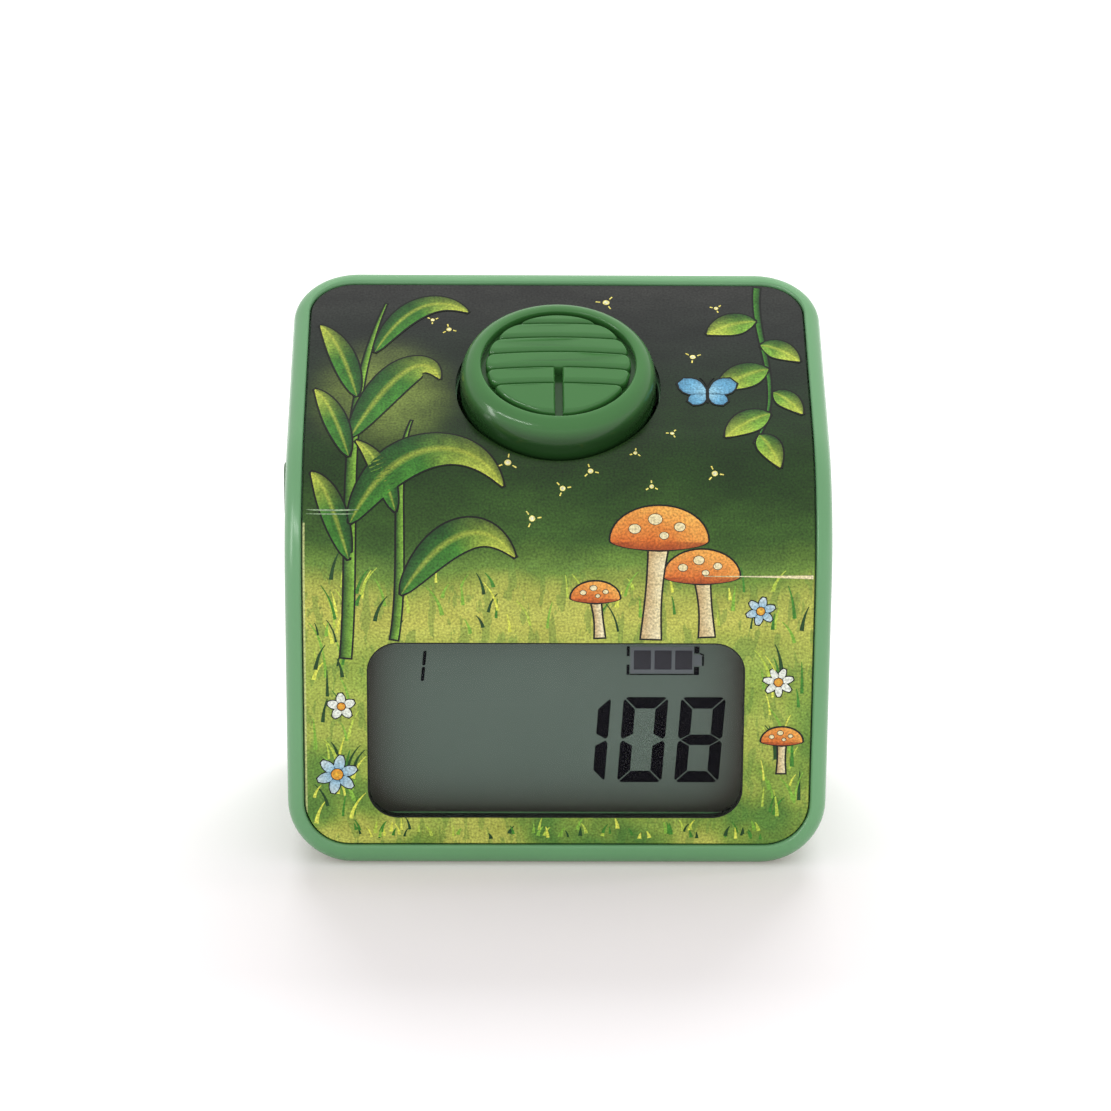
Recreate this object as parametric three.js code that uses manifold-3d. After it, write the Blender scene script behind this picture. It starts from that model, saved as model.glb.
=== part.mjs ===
// A rechargeable electronic tally counter that stands on its flat base.
// Millimetres, +Z up. The display face looks along -Y and +X is to its right. The origin is the middle
// of the base. Inside the case group, y = 0 is the plane of the display face.
import * as THREE from "three";
import { mergeVertices } from "three/addons/utils/BufferGeometryUtils.js";
import Module from "manifold-3d";

const wasm = await Module();
wasm.setup();

const degrees = THREE.MathUtils.degToRad;
const { lerp, clamp } = THREE.MathUtils;

// Case
const caseWidth = 45;
const caseDepth = 28.8;
const uprightHeight = 24.4; // of the display face, from the base to the bend
const bendRadius = 13;
const bendAngle = degrees(63);
const slopeLength = 20.5; // of the button face, from the bend to the top edge
const cornerRadius = 5.5;
const rimRadius = 1.5; // rounding of the front edge
const rimFlare = 0.3; // rounding of the rim's edge beside the plate
const backEdge = 2.2; // rounding of the back edge
const shellDepth = 4.6; // of the front shell, square to the face
const sideWall = 1.6;
const backWall = 1.8;
const seatWall = 1.8; // of the front shell behind the face plate
const innerRounding = 0.6;
const jointLine = 0.12; // between the two shells
const lipLength = 1;
const lipInset = 0.9; // from the outside of the wall to the outside of the lip
const fitGap = 0.12; // round a piece that drops into a seat
const restGap = 0.1; // behind a piece that lies on another
const slideGap = 0.3; // round a piece that slides
const overcut = 0.02; // of a cut in front of the surface that it opens

// Face plate, window and display
const plateDrop = 0.2; // of the plate below the rim
const plateThickness = 0.8;
const plateGlue = 0.15;
const plateSideRim = 1.53; // of case left bare beside the plate
const plateEndRim = 2.02; // of case left bare above and below the plate
const plateRadius = 3.7;
const plateEdge = 0.15;
const windowSide = 7; // from the side of the case to the window
const windowHeight = 15.24;
const windowRadius = 2.45;
const windowCentre = 12.07; // above the base
const windowShift = -0.17; // sideways
const paneThickness = 0.8;
const paneMargin = 1.3; // of pane beyond the window
const paneLap = 0.8; // of case that backs the pane's edge
const glassLap = 1; // of glass beyond the window at each side
const glassHeight = 18;
const glassThickness = 2; // of the two sheets together
const glassLedge = 1.4; // of the rear sheet above the front one, with the contacts
const frameWall = 0.5;
const frameShelf = 1.3; // behind the glass
const zebraInset = 1.5; // from the side of the glass
const zebraHeight = 1.4;

// Boards
const boardFront = 7.4; // depth of the main board's front
const boardThickness = 1.2;
const mainBoardGap = 0.4; // between the board and the case's bosses
const mainBoardLow = 2.4;
const mainBoardTop = 26.4;
const tabWidth = 6.3; // of the main board's tab that carries the side switch
const tabMargin = 1.4; // of tab above the side switch
const boardPostInset = 4; // from the side of the board
const boardPostHeight = 24.7;
const postRadius = 1.4;
const boardScrewRadius = 0.6;
const boardScrewHead = 1.2;
const boardScrewBite = 2.2; // of screw in the post

// Thumb button, in heights above the sloping face
const buttonAlong = 5.55; // from the bend up the slope to the button's axis
const buttonRadius = 8.18;
const buttonHeight = 2.65;
const buttonEdge = 1.4; // rounding of the ring's outer edge
const ringRadius = 6.45; // inside of the ring
const ringEdge = 0.25; // rounding of the ring's inner edge
const ribRadius = 6.1; // of the circle that bounds the ribs
const ribPitch = 1.88;
const ribGroove = 0.22;
const ribTopGroove = 4.92; // height of the first groove above the button's axis
const ribGrooves = 5;
const ribDrop = 0.2; // of the ribs below the ring
const channelDepth = 0.6;
const splitWidth = 0.55; // of the upright groove through the lower ribs
const splitTop = -0.62; // where the upright groove starts
const buttonWall = 1.2;
const buttonRoof = 1.2;
const buttonTravel = 1;
const flangeRadius = 9.5;
const flangeThickness = 0.8;
const sleeveDepth = 4;
const sleeveWall = 1.4;
const plungerRadius = 2.2;
const plungerDepth = 4.35;
const switchSide = 6;
const switchHeight = 3.5;
const switchStemRadius = 1.7;
const switchStemLength = 2.8;
const switchEdge = 0.4;
const buttonBoardDepth = 9.3;
const buttonBoardInset = 2; // from the side of the main board
const buttonBoardLow = -6.5; // along the slope, from the button's axis
const buttonBoardTop = 8.5;
const buttonBoardThickness = 1;
const buttonBoardCorner = 1;
const buttonPostInset = 2; // from the side of the board
const buttonPostLow = -1.5;
const buttonPostTop = 6.5;

// Side key, in the left wall of the rear shell
const keyLength = 4.9;
const keyWidth = 2;
const keyProud = 0.5;
const keyDepth = 12.2; // of its middle behind the display face
const keyAboveBend = 4.85; // of its middle above the start of the bend
const keyEdge = 0.25; // rounding of its outer end
const keyTravel = 0.4;
const keyFlangeMargin = 0.5;
const keyFlangeThickness = 0.7;
const sideSwitchWidth = 3.6;
const sideSwitchBehind = 1.4; // of switch behind the key's middle
const sideSwitchLength = 2.6;
const sideSwitchEdge = 0.3;
const sideSwitchReach = 1.6; // from the key's flange to the switch
const sideStemRadius = 0.75;
const sideStemSunk = 1.3; // of the stem inside the switch

// Case screws
const screwInset = 1.9; // from the inside of the side wall to the screws' axes
const lowScrewHeight = 5.2;
const topScrewHeight = 35;
const lowMeeting = 7; // depth where the lower bosses meet
const topMeeting = 16;
const bossRadius = 1.6;
const bossHeadRadius = 2.5;
const bossSeat = 1.2; // of wide tube in front of the screw's seat
const topBossRoot = 7.5; // depth where the upper bosses leave the front skin
const screwRadius = 0.85;
const screwHeadRadius = 1.5;
const screwHeadHeight = 1.1;
const screwGrip = 4.5; // of rear boss under the screw's head
const screwBite = 4.8; // of screw past the meeting of the bosses
const screwGap = 0.1;
const bossRib = 1;

// Charging socket, in the right wall
const socketHeight = 14; // of its middle above the base
const socketWidth = 8.94;
const socketThickness = 3.26;
const socketLength = 7.3;
const socketWall = 0.3;
const socketMouth = 6.2; // depth of its open part
const socketRecess = 0.2; // of its mouth inside the wall
const plugRoom = 0.35; // of the hole in the wall round the socket
const tongueWidth = 6.7;
const tongueThickness = 0.7;
const tongueLength = 5;

// Battery
const cellInset = 5.9; // from the inside of the side wall
const cellHeight = 20;
const cellThickness = 5;
const cellLow = 6; // above the base
const cellEdge = 1.4;
const padThickness = 0.5;
const bayRibWidth = 16;
const bayRibThickness = 1;
const bayRibDepth = 3.6;
const leadRadius = 0.5;
const leadApart = 1.6;
const leadInset = 3.5; // from the end of the cell to the pair of leads
const plugWidth = 5;
const plugHeight = 3.4;
const plugLength = 3.6;
const plugLevel = 21; // above the base
const plugEdge = 0.3;
const leadBend = 2.2;

// Small parts on the main board
const blobRadius = 4.2;
const blobHeight = 1.6;
const crystalRadius = 1;
const crystalLength = 6;
const crystalEdge = 0.25;
const blobSide = 6; // left of the middle
const crystalSide = 1; // right of the middle
const crystalLevel = 8; // above the base
const ribbonWidth = 8;
const ribbonThickness = 0.3;
const ribbonLap = 2.5; // of ribbon on each board
const ribbonRise = 2.4; // from the end of its lap to the main board's top edge
const ribbonBend = 1.2;

// Facets
const cornerSteps = 6;
const bendSteps = 9;
const edgeSteps = 4;
const roundSteps = 48;
const postSteps = 12;
const curveSteps = 3; // in an eighth of a circle
const tubeSteps = 24;
const ribbonSteps = 16;
const leadSteps = 12;
const leadSides = 4;

// Sizes that follow from those above
const slopeStart = uprightHeight + bendRadius * bendAngle;
const faceLength = slopeStart + slopeLength;
const plateFloor = plateDrop + plateThickness + plateGlue;
const frontSkin = plateFloor + seatWall;
const paneFloor = plateFloor + paneThickness + restGap;
const glassFront = frontSkin + slideGap;
const boardBack = boardFront + boardThickness;
const innerSide = caseWidth / 2 - sideWall;
const windowWidth = caseWidth - 2 * windowSide;
const glassWidth = windowWidth + 2 * glassLap;
const zebraWidth = glassWidth - 2 * zebraInset;
const screwSide = innerSide - screwInset;
const mainBoardWidth = 2 * (screwSide - bossRadius - mainBoardGap);
const boardPostSide = mainBoardWidth / 2 - boardPostInset;
const buttonBoardWidth = mainBoardWidth - 2 * buttonBoardInset;
const buttonPostSide = buttonBoardWidth / 2 - buttonPostInset;
const cellWidth = 2 * (innerSide - cellInset);
const keyHeight = uprightHeight + keyAboveBend;
const tabTop = keyHeight + sideSwitchWidth / 2 + tabMargin;
const plateHole = buttonRadius + slideGap + fitGap;
const sleeveHole = buttonRadius + slideGap;
const flangeTop = sleeveDepth + slideGap;
const innerBack = caseDepth - backWall;
const socketDepth = boardBack + restGap + socketThickness / 2;
const keyFlange = -sideWall - slideGap;
const keyBack = keyFlange - keyFlangeThickness;
const sideSwitchFront = keyBack - sideSwitchReach;
const switchTop = switchHeight + restGap - buttonBoardDepth;
const switchStemTop = -plungerDepth - restGap;
const cellBack = innerBack - 2 * restGap - padThickness;
const cellTop = cellLow + cellHeight;
const leadSide = cellWidth / 2 - leadInset;

// Shapes and solids

// A closed three.js geometry as a solid that can be joined and cut.
function solidOf(geometry) {
  const bare = geometry.clone();
  bare.deleteAttribute("normal");
  bare.deleteAttribute("uv");
  const merged = mergeVertices(bare, 1e-4);
  const corners = [];
  const index = merged.index.array;
  for (let i = 0; i < index.length; i += 3) {
    const [a, b, c] = [index[i], index[i + 1], index[i + 2]];
    if (a !== b && b !== c && c !== a) corners.push(a, b, c);
  }
  return new wasm.Manifold(
    new wasm.Mesh({
      numProp: 3,
      vertProperties: new Float32Array(merged.getAttribute("position").array),
      triVerts: new Uint32Array(corners),
    }),
  );
}

function geometryOf(solid) {
  const { vertProperties, triVerts } = solid.getMesh();
  const geometry = new THREE.BufferGeometry();
  geometry.setAttribute("position", new THREE.BufferAttribute(vertProperties, 3));
  geometry.setIndex(new THREE.BufferAttribute(triVerts, 1));
  geometry.computeVertexNormals();
  return geometry;
}

const join = (first, ...others) => others.reduce((sum, next) => sum.add(next), first);
const cut = (first, ...others) => others.reduce((rest, next) => rest.subtract(next), first);

function moved(geometry, x, y, z) {
  return geometry.translate(x, y, z);
}

function roundedShape(width, height, radius) {
  const [x, y] = [width / 2 - radius, height / 2 - radius];
  const shape = new THREE.Shape();
  shape.absarc(x, y, radius, 0, Math.PI / 2);
  shape.absarc(-x, y, radius, Math.PI / 2, Math.PI);
  shape.absarc(-x, -y, radius, Math.PI, 1.5 * Math.PI);
  shape.absarc(x, -y, radius, 1.5 * Math.PI, 2 * Math.PI);
  return shape;
}

function extruded(shape, depth, steps = curveSteps) {
  return new THREE.ExtrudeGeometry(shape, { depth, bevelEnabled: false, curveSegments: steps });
}

// A rounded rectangle in X and Y, from z = back to z = front.
function slab(width, height, radius, back, front) {
  return moved(extruded(roundedShape(width, height, radius), front - back), 0, 0, back);
}

// The same with both ends rounded.
function pillow(width, height, radius, back, front, edge) {
  const body = new THREE.ExtrudeGeometry(roundedShape(width, height, radius), {
    depth: front - back - 2 * edge,
    bevelSize: edge,
    bevelOffset: -edge,
    bevelThickness: edge,
    bevelSegments: edgeSteps,
    curveSegments: curveSteps,
  });
  return moved(body, 0, 0, back + edge);
}

function block(width, height, back, front) {
  return moved(new THREE.BoxGeometry(width, height, front - back), 0, 0, (front + back) / 2);
}

// A cylinder on the Z axis, from z = back to z = front.
function rod(radius, back, front, steps = postSteps) {
  const cylinder = new THREE.CylinderGeometry(radius, radius, front - back, steps);
  return moved(cylinder.rotateX(Math.PI / 2), 0, 0, (front + back) / 2);
}

// A closed profile of [radius, height] points, turned about the Z axis.
function turned(profile, steps) {
  const points = [...profile, profile[0]].map(([radius, height]) => new THREE.Vector2(radius, height));
  return new THREE.LatheGeometry(points, steps).rotateX(Math.PI / 2);
}

// A quarter circle of [radius, height] points from one angle to another.
function profileArc(centre, radius, from, to, steps = edgeSteps) {
  return Array.from({ length: steps + 1 }, (_, k) => {
    const angle = lerp(from, to, k / steps);
    return [centre[0] + radius * Math.cos(angle), centre[1] + radius * Math.sin(angle)];
  });
}

function plastic(color, roughness = 0.35) {
  return new THREE.MeshStandardMaterial({ color, roughness, metalness: 0 });
}

function metal(color, roughness = 0.35) {
  return new THREE.MeshStandardMaterial({ color, roughness, metalness: 1 });
}

function piece(name, solid, material) {
  const mesh = new THREE.Mesh(geometryOf(solid), material);
  mesh.name = name;
  return mesh;
}

// The bent face

// The point at a width x, a length s up the face and a depth behind it.
function facePoint(x, s, depth) {
  const turn = clamp((s - uprightHeight) / bendRadius, 0, bendAngle);
  const past = Math.max(0, s - slopeStart);
  const y = bendRadius * (1 - Math.cos(turn)) + past * Math.sin(bendAngle);
  const z = Math.min(s, uprightHeight) + bendRadius * Math.sin(turn) + past * Math.cos(bendAngle);
  return new THREE.Vector3(x, y + depth * Math.cos(turn), z - depth * Math.sin(turn));
}

const caseOutline = { width: caseWidth, low: 0, high: faceLength, radius: cornerRadius };
const plateOutline = {
  width: caseWidth - 2 * plateSideRim,
  low: plateEndRim,
  high: faceLength - plateEndRim,
  radius: plateRadius,
};

// The same outline, drawn in by a distance, or let out by a negative one.
function drawnIn(outline, by) {
  return {
    width: outline.width - 2 * by,
    low: outline.low + by,
    high: outline.high - by,
    radius: outline.radius - by,
  };
}

// The right half of an outline, from the bottom edge to the top edge, with its outward directions.
function halfOutline({ width, low, high, radius }) {
  const x = width / 2 - radius;
  const points = [];
  const corner = (s, from) => {
    for (let k = 0; k <= cornerSteps; k++) {
      const angle = from + (k / cornerSteps) * (Math.PI / 2);
      const [outX, outS] = [Math.cos(angle), Math.sin(angle)];
      points.push({ x: x + radius * outX, s: s + radius * outS, outX, outS });
    }
  };
  corner(low + radius, -Math.PI / 2);
  for (let k = 0; k <= bendSteps; k++) {
    const s = lerp(uprightHeight, slopeStart, k / bendSteps);
    points.push({ x: width / 2, s, outX: 1, outS: 0 });
  }
  corner(high - radius, 0);
  return points;
}

const faceRing = (outline, depth) =>
  halfOutline(outline).map(({ x, s }) => facePoint(x, s, depth));

// A closed body through rings that run from the front to the back. A ring is its right half, from the
// bottom to the top, and the left half mirrors it.
function loft(rings) {
  const size = rings[0].length;
  const positions = [];
  for (const ring of rings) {
    for (const { x, y, z } of ring) positions.push(x, y, z, -x, y, z);
  }
  const right = (k, i) => 2 * (k * size + i);
  const left = (k, i) => right(k, i) + 1;
  const index = [];
  const quad = (a, b, c, d) => index.push(a, b, c, a, c, d);
  const [top, back] = [size - 1, rings.length - 1];
  for (let k = 0; k < back; k++) {
    for (let i = 0; i < top; i++) {
      quad(right(k, i), right(k + 1, i), right(k + 1, i + 1), right(k, i + 1));
      quad(left(k, i), left(k, i + 1), left(k + 1, i + 1), left(k + 1, i));
    }
    quad(left(k, 0), left(k + 1, 0), right(k + 1, 0), right(k, 0));
    quad(left(k, top), right(k, top), right(k + 1, top), left(k + 1, top));
  }
  for (let i = 0; i < top; i++) {
    quad(left(0, i), right(0, i), right(0, i + 1), left(0, i + 1));
    quad(left(back, i), left(back, i + 1), right(back, i + 1), right(back, i));
  }
  const geometry = new THREE.BufferGeometry();
  geometry.setAttribute("position", new THREE.Float32BufferAttribute(positions, 3));
  geometry.setIndex(index);
  return geometry;
}

// A body that follows the bent face between two depths. Its front edge can be rounded, or flared by a
// negative rounding.
function faceBody(outline, front, back, rounding = 0) {
  const rings = [];
  for (let k = 0; k <= (rounding === 0 ? 0 : edgeSteps); k++) {
    const angle = (k / edgeSteps) * (Math.PI / 2);
    const inset = rounding * (1 - Math.sin(angle));
    rings.push(faceRing(drawnIn(outline, inset), front + Math.abs(rounding) * (1 - Math.cos(angle))));
  }
  rings.push(faceRing(outline, back));
  return solidOf(loft(rings));
}

// A body whose walls run from a depth behind the bent face straight to an upright back, with a
// rounding where they meet it.
function rearBody(inset, front, back, rounding) {
  const outline = drawnIn(caseOutline, inset);
  const wallTop = facePoint(0, outline.high, 0);
  const run = (back - wallTop.y) / Math.cos(bendAngle);
  const top = wallTop.z - run * Math.sin(bendAngle);
  const level = (s) => {
    const [sideLow, sideHigh] = [outline.low + outline.radius, outline.high - outline.radius];
    if (s <= sideLow) return s;
    if (s >= sideHigh) return top - (outline.high - s);
    return lerp(sideLow, top - outline.radius, (s - sideLow) / (sideHigh - sideLow));
  };
  const ends = halfOutline(outline).map(({ x, s, outX, outS }) => {
    const start = facePoint(x, s, front);
    const corner = new THREE.Vector3(x, back, level(s));
    const wallEnd = corner.clone().lerp(start, rounding / corner.distanceTo(start));
    const backEnd = corner.clone().addScaledVector(new THREE.Vector3(outX, 0, outS), -rounding);
    return { start, round: new THREE.QuadraticBezierCurve3(wallEnd, corner, backEnd) };
  });
  const rings = [ends.map(({ start }) => start)];
  for (let k = 0; k <= edgeSteps; k++) rings.push(ends.map(({ round }) => round.getPoint(k / edgeSteps)));
  return solidOf(loft(rings));
}

// Frames

// A group whose Y runs up and whose Z points out of a face.
function frameAt(position, up, out) {
  const frame = new THREE.Group();
  frame.quaternion.setFromRotationMatrix(
    new THREE.Matrix4().makeBasis(up.clone().cross(out), up, out));
  frame.position.copy(position);
  frame.updateMatrix();
  return frame;
}

const [toRight, toBack, toTop] = [[1, 0, 0], [0, 1, 0], [0, 0, 1]].map((v) => new THREE.Vector3(...v));
const toLeft = toRight.clone().negate();
const toFront = toBack.clone().negate();
const middle = new THREE.Vector3();
const upSlope = new THREE.Vector3(0, Math.sin(bendAngle), Math.cos(bendAngle));
const outOfSlope = new THREE.Vector3(0, -Math.cos(bendAngle), Math.sin(bendAngle));
const buttonPoint = facePoint(0, slopeStart + buttonAlong, 0);
const keyPoint = new THREE.Vector3(-caseWidth / 2, keyDepth, keyHeight);
const socketPoint = new THREE.Vector3(innerSide - socketRecess, socketDepth, socketHeight);

const frontFrame = frameAt(middle, toTop, toFront); // Z is the height above the display face
const backFrame = frameAt(middle, toTop, toBack); // Z is the depth behind it, and X runs to the left
const sideFrame = frameAt(middle, toTop, toRight); // X is the depth and Y the height
const slopeFrame = frameAt(buttonPoint, upSlope, outOfSlope); // at the button's axis
const keyFrame = frameAt(keyPoint, toTop, toLeft);
const socketFrame = frameAt(socketPoint, toTop, toRight);

const bodyIn = (frame, geometry) => solidOf(geometry.applyMatrix4(frame.matrix));

const pair = (side, height) => [[-side, height], [side, height]];
const lowScrews = pair(screwSide, lowScrewHeight);
const topScrews = pair(screwSide, topScrewHeight);
const boardPosts = pair(boardPostSide, boardPostHeight);
const buttonPosts = [...pair(buttonPostSide, buttonPostLow), ...pair(buttonPostSide, buttonPostTop)];

// The same rod at each of several places in a frame.
function rodsAt(places, frame, radius, back, front) {
  return places.map(([x, y]) => bodyIn(frame, moved(rod(radius, back, front), x, y, 0)));
}

// Front shell and face plate

function windowBody(margin, radius, back, front) {
  const [width, height] = [windowWidth + 2 * margin, windowHeight + 2 * margin];
  return bodyIn(frontFrame, moved(slab(width, height, radius, back, front), windowShift, windowCentre, 0));
}

function frontCase() {
  const past = shellDepth + lipLength;
  const outer = faceBody(caseOutline, 0, shellDepth, rimRadius);
  const inside = faceBody(drawnIn(caseOutline, sideWall), frontSkin, past, innerRounding);
  const lipRoom = drawnIn(caseOutline, lipInset - fitGap);
  const rebate = faceBody(lipRoom, shellDepth - lipLength - fitGap, past);
  const sleeve = bodyIn(slopeFrame, rod(sleeveHole + sleeveWall, -sleeveDepth, -plateFloor, roundSteps));
  const shell = join(
    cut(outer, inside, rebate),
    sleeve,
    ...rodsAt(lowScrews, backFrame, bossRadius, plateFloor, lowMeeting),
    ...rodsAt(topScrews, backFrame, bossRadius, topBossRoot, topMeeting),
    ...rodsAt(boardPosts, backFrame, postRadius, plateFloor, boardFront - restGap),
    ...rodsAt(buttonPosts, slopeFrame, postRadius, restGap - buttonBoardDepth, -plateFloor),
  );
  const boardPilot = boardScrewRadius + screwGap;
  const pilots = (places, meeting) =>
    rodsAt(places, backFrame, screwRadius + screwGap, meeting - screwBite - slideGap, meeting + restGap);
  return cut(
    shell,
    faceBody(drawnIn(plateOutline, -fitGap / 2), -rimRadius, plateThickness),
    faceBody(drawnIn(plateOutline, -fitGap), -overcut, plateFloor, -rimFlare),
    windowBody(paneMargin + fitGap, windowRadius + paneMargin, -paneFloor, rimRadius),
    windowBody(paneMargin - paneLap, windowRadius, -frontSkin - restGap, rimRadius),
    bodyIn(slopeFrame, rod(sleeveHole, -sleeveDepth - restGap, buttonHeight, roundSteps)),
    ...pilots(lowScrews, lowMeeting),
    ...pilots(topScrews, topMeeting),
    ...rodsAt(boardPosts, backFrame, boardPilot, boardFront - boardScrewBite, boardFront),
    ...rodsAt(buttonPosts, slopeFrame, boardPilot, -buttonBoardDepth, boardScrewBite - buttonBoardDepth),
  );
}

function facePlate() {
  return cut(
    faceBody(plateOutline, plateDrop, plateDrop + plateThickness, plateEdge),
    windowBody(0, windowRadius, -rimRadius, rimRadius),
    bodyIn(slopeFrame, rod(plateHole, -sleeveDepth, buttonHeight, roundSteps)),
  );
}

// Rear shell

// A tube for a case screw, with a rib to the side wall. Its end with the screw's seat is wider.
function rearBoss([x, height], meeting) {
  const [end, seat] = [meeting + restGap, meeting + screwGrip];
  const root = innerBack + backWall / 2;
  const reach = innerSide - Math.abs(x) + sideWall / 2;
  const rib = block(reach, bossRib, seat, root);
  return [
    moved(rod(bossRadius, end, seat), x, height, 0),
    moved(rod(bossHeadRadius, seat - bossSeat, root, tubeSteps), x, height, 0),
    moved(rib, x + (Math.sign(x) * reach) / 2, height, 0),
  ].map((shape) => bodyIn(backFrame, shape));
}

function rearBossHoles([x, height], meeting) {
  const seat = meeting + screwGrip;
  return [
    moved(rod(screwRadius + screwGap, meeting, seat + restGap), x, height, 0),
    moved(rod(screwHeadRadius + screwGap, seat, caseDepth + backWall, tubeSteps), x, height, 0),
  ].map((shape) => bodyIn(backFrame, shape));
}

function rearCover() {
  const lipFront = shellDepth - lipLength;
  const outer = rearBody(0, shellDepth + jointLine, caseDepth, backEdge);
  const lip = faceBody(drawnIn(caseOutline, lipInset), lipFront, shellDepth + backWall);
  const inside = rearBody(sideWall, lipFront - lipLength, innerBack, innerRounding);
  const ribGap = cellHeight / 2 + slideGap + bayRibThickness / 2;
  const bayRibs = [-ribGap, ribGap].map((offset) => bodyIn(backFrame, moved(
    block(bayRibWidth, bayRibThickness, innerBack - bayRibDepth, innerBack + backWall / 2),
    0, cellLow + cellHeight / 2 + offset, 0)));
  const screws = [
    ...lowScrews.map((place) => [place, lowMeeting]),
    ...topScrews.map((place) => [place, topMeeting]),
  ];
  const slot = slab(
    keyWidth + 2 * fitGap, keyLength + 2 * fitGap, keyWidth / 2 + fitGap, -2 * sideWall, sideWall);
  const plugHole = slab(
    socketThickness + 2 * plugRoom, socketWidth + 2 * plugRoom, socketThickness / 2 + plugRoom,
    -restGap, 2 * sideWall);
  return cut(
    join(cut(join(outer, lip), inside), ...bayRibs, ...screws.flatMap((screw) => rearBoss(...screw))),
    bodyIn(keyFrame, slot),
    bodyIn(socketFrame, plugHole),
    ...screws.flatMap((screw) => rearBossHoles(...screw)),
  );
}

// Window and display

function windowPane() {
  const [width, height] = [windowWidth + 2 * paneMargin, windowHeight + 2 * paneMargin];
  const front = -plateFloor - restGap / 2;
  return solidOf(slab(width, height, windowRadius + paneMargin, front - paneThickness, front));
}

function lcdGlass() {
  const sheet = glassThickness / 2;
  const rear = block(glassWidth, glassHeight, -glassFront - glassThickness, -glassFront - sheet);
  const front = block(glassWidth, glassHeight - glassLedge, -glassFront - sheet, -glassFront);
  return join(solidOf(rear), solidOf(moved(front, 0, -glassLedge / 2, 0)));
}

// The frame's opening behind the glass leaves a shelf below and beside it, and a slot for the contacts.
function lcdFrame() {
  const [front, back] = [-frontSkin - restGap, restGap - boardFront];
  const shelf = -glassFront - glassThickness - restGap;
  const [width, height] = [glassWidth + 2 * fitGap, glassHeight + 2 * fitGap];
  const [openWidth, openHeight] = [glassWidth - 2 * frameShelf, glassHeight - frameShelf];
  return cut(
    solidOf(slab(width + 2 * frameWall, height + 2 * frameWall, frameWall, back, front)),
    solidOf(block(width, height, shelf, front + 1)),
    solidOf(moved(block(openWidth, openHeight, back - 1, front + 1), 0, frameShelf / 2, 0)),
  );
}

function zebraStrip() {
  const back = restGap - boardFront;
  const strip = block(zebraWidth, zebraHeight, back, -glassFront - glassThickness - restGap);
  return solidOf(moved(strip, 0, (glassHeight - zebraHeight) / 2 - restGap, 0));
}

// Boards

function mainBoard() {
  const [side, tab] = [mainBoardWidth / 2, tabWidth - mainBoardWidth / 2];
  const shape = new THREE.Shape([
    [-side, mainBoardLow], [side, mainBoardLow], [side, mainBoardTop], [tab, mainBoardTop],
    [tab, tabTop], [-side, tabTop],
  ].map(([x, y]) => new THREE.Vector2(x, y)));
  const sheet = moved(extruded(shape, boardThickness), 0, 0, -boardBack);
  const holes = boardPosts.map(([x, y]) =>
    solidOf(moved(rod(boardScrewRadius + fitGap, -boardBack - 1, 1 - boardFront), x, y, 0)));
  return cut(solidOf(sheet), ...holes);
}

function buttonBoard() {
  const back = -buttonBoardDepth - buttonBoardThickness;
  const height = buttonBoardTop - buttonBoardLow;
  const sheet = slab(buttonBoardWidth, height, buttonBoardCorner, back, -buttonBoardDepth);
  const holes = buttonPosts.map(([x, y]) =>
    solidOf(moved(rod(boardScrewRadius + fitGap, back - 1, 1 - buttonBoardDepth), x, y, 0)));
  return cut(solidOf(moved(sheet, 0, (buttonBoardTop + buttonBoardLow) / 2, 0)), ...holes);
}

// A flat ribbon between the boards, as a strip of even thickness along a curve seen from the side.
function boardLink() {
  const lift = ribbonThickness / 2 + restGap;
  const underBoard = -buttonBoardDepth - buttonBoardThickness - lift;
  const onSlope = (y) => new THREE.Vector3(0, y, underBoard).applyMatrix4(slopeFrame.matrix);
  const low = buttonBoardLow + ribbonLap / 4;
  const along = boardBack + lift;
  const start = new THREE.Vector3(0, along, mainBoardTop - ribbonRise);
  const end = onSlope(low);
  const curve = new THREE.CurvePath();
  curve.add(new THREE.LineCurve3(start.clone().addScaledVector(toTop, -ribbonLap), start));
  curve.add(new THREE.CubicBezierCurve3(
    start,
    start.clone().addScaledVector(toTop, ribbonBend),
    end.clone().addScaledVector(upSlope, -ribbonBend),
    end));
  curve.add(new THREE.LineCurve3(end, onSlope(low + ribbonLap)));
  const [over, under] = [[], []];
  for (let k = 0; k <= ribbonSteps; k++) {
    const point = curve.getPoint(k / ribbonSteps);
    const aim = curve.getTangent(k / ribbonSteps);
    const off = new THREE.Vector2(-aim.z, aim.y).multiplyScalar(ribbonThickness / 2);
    over.push(new THREE.Vector2(point.y + off.x, point.z + off.y));
    under.unshift(new THREE.Vector2(point.y - off.x, point.z - off.y));
  }
  return solidOf(moved(extruded(new THREE.Shape([...over, ...under]), ribbonWidth), 0, 0, -ribbonWidth / 2));
}

function controllerBlob() {
  const rise = (blobRadius ** 2 - blobHeight ** 2) / (2 * blobHeight);
  const radius = rise + blobHeight;
  const dome = profileArc([0, -rise], radius, Math.asin(rise / radius), Math.PI / 2);
  return solidOf(turned([[0, 0], ...dome], postSteps));
}

function crystalCan() {
  const can = profileArc([crystalRadius - crystalEdge, crystalLength - crystalEdge], crystalEdge, 0, Math.PI / 2);
  return solidOf(turned([[0, 0], [crystalRadius, 0], ...can, [0, crystalLength]], postSteps));
}

// Thumb button, along the Z axis with the sloping face at z = 0

// The part of a disc between two heights: one rib of the button.
function ribShape(low, high) {
  const [from, to] = [low, high].map((y) => Math.asin(clamp(y / ribRadius, -1, 1)));
  const shape = new THREE.Shape();
  shape.absarc(0, 0, ribRadius, from, to);
  shape.absarc(0, 0, ribRadius, Math.PI - to, Math.PI - from);
  return shape;
}

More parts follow.
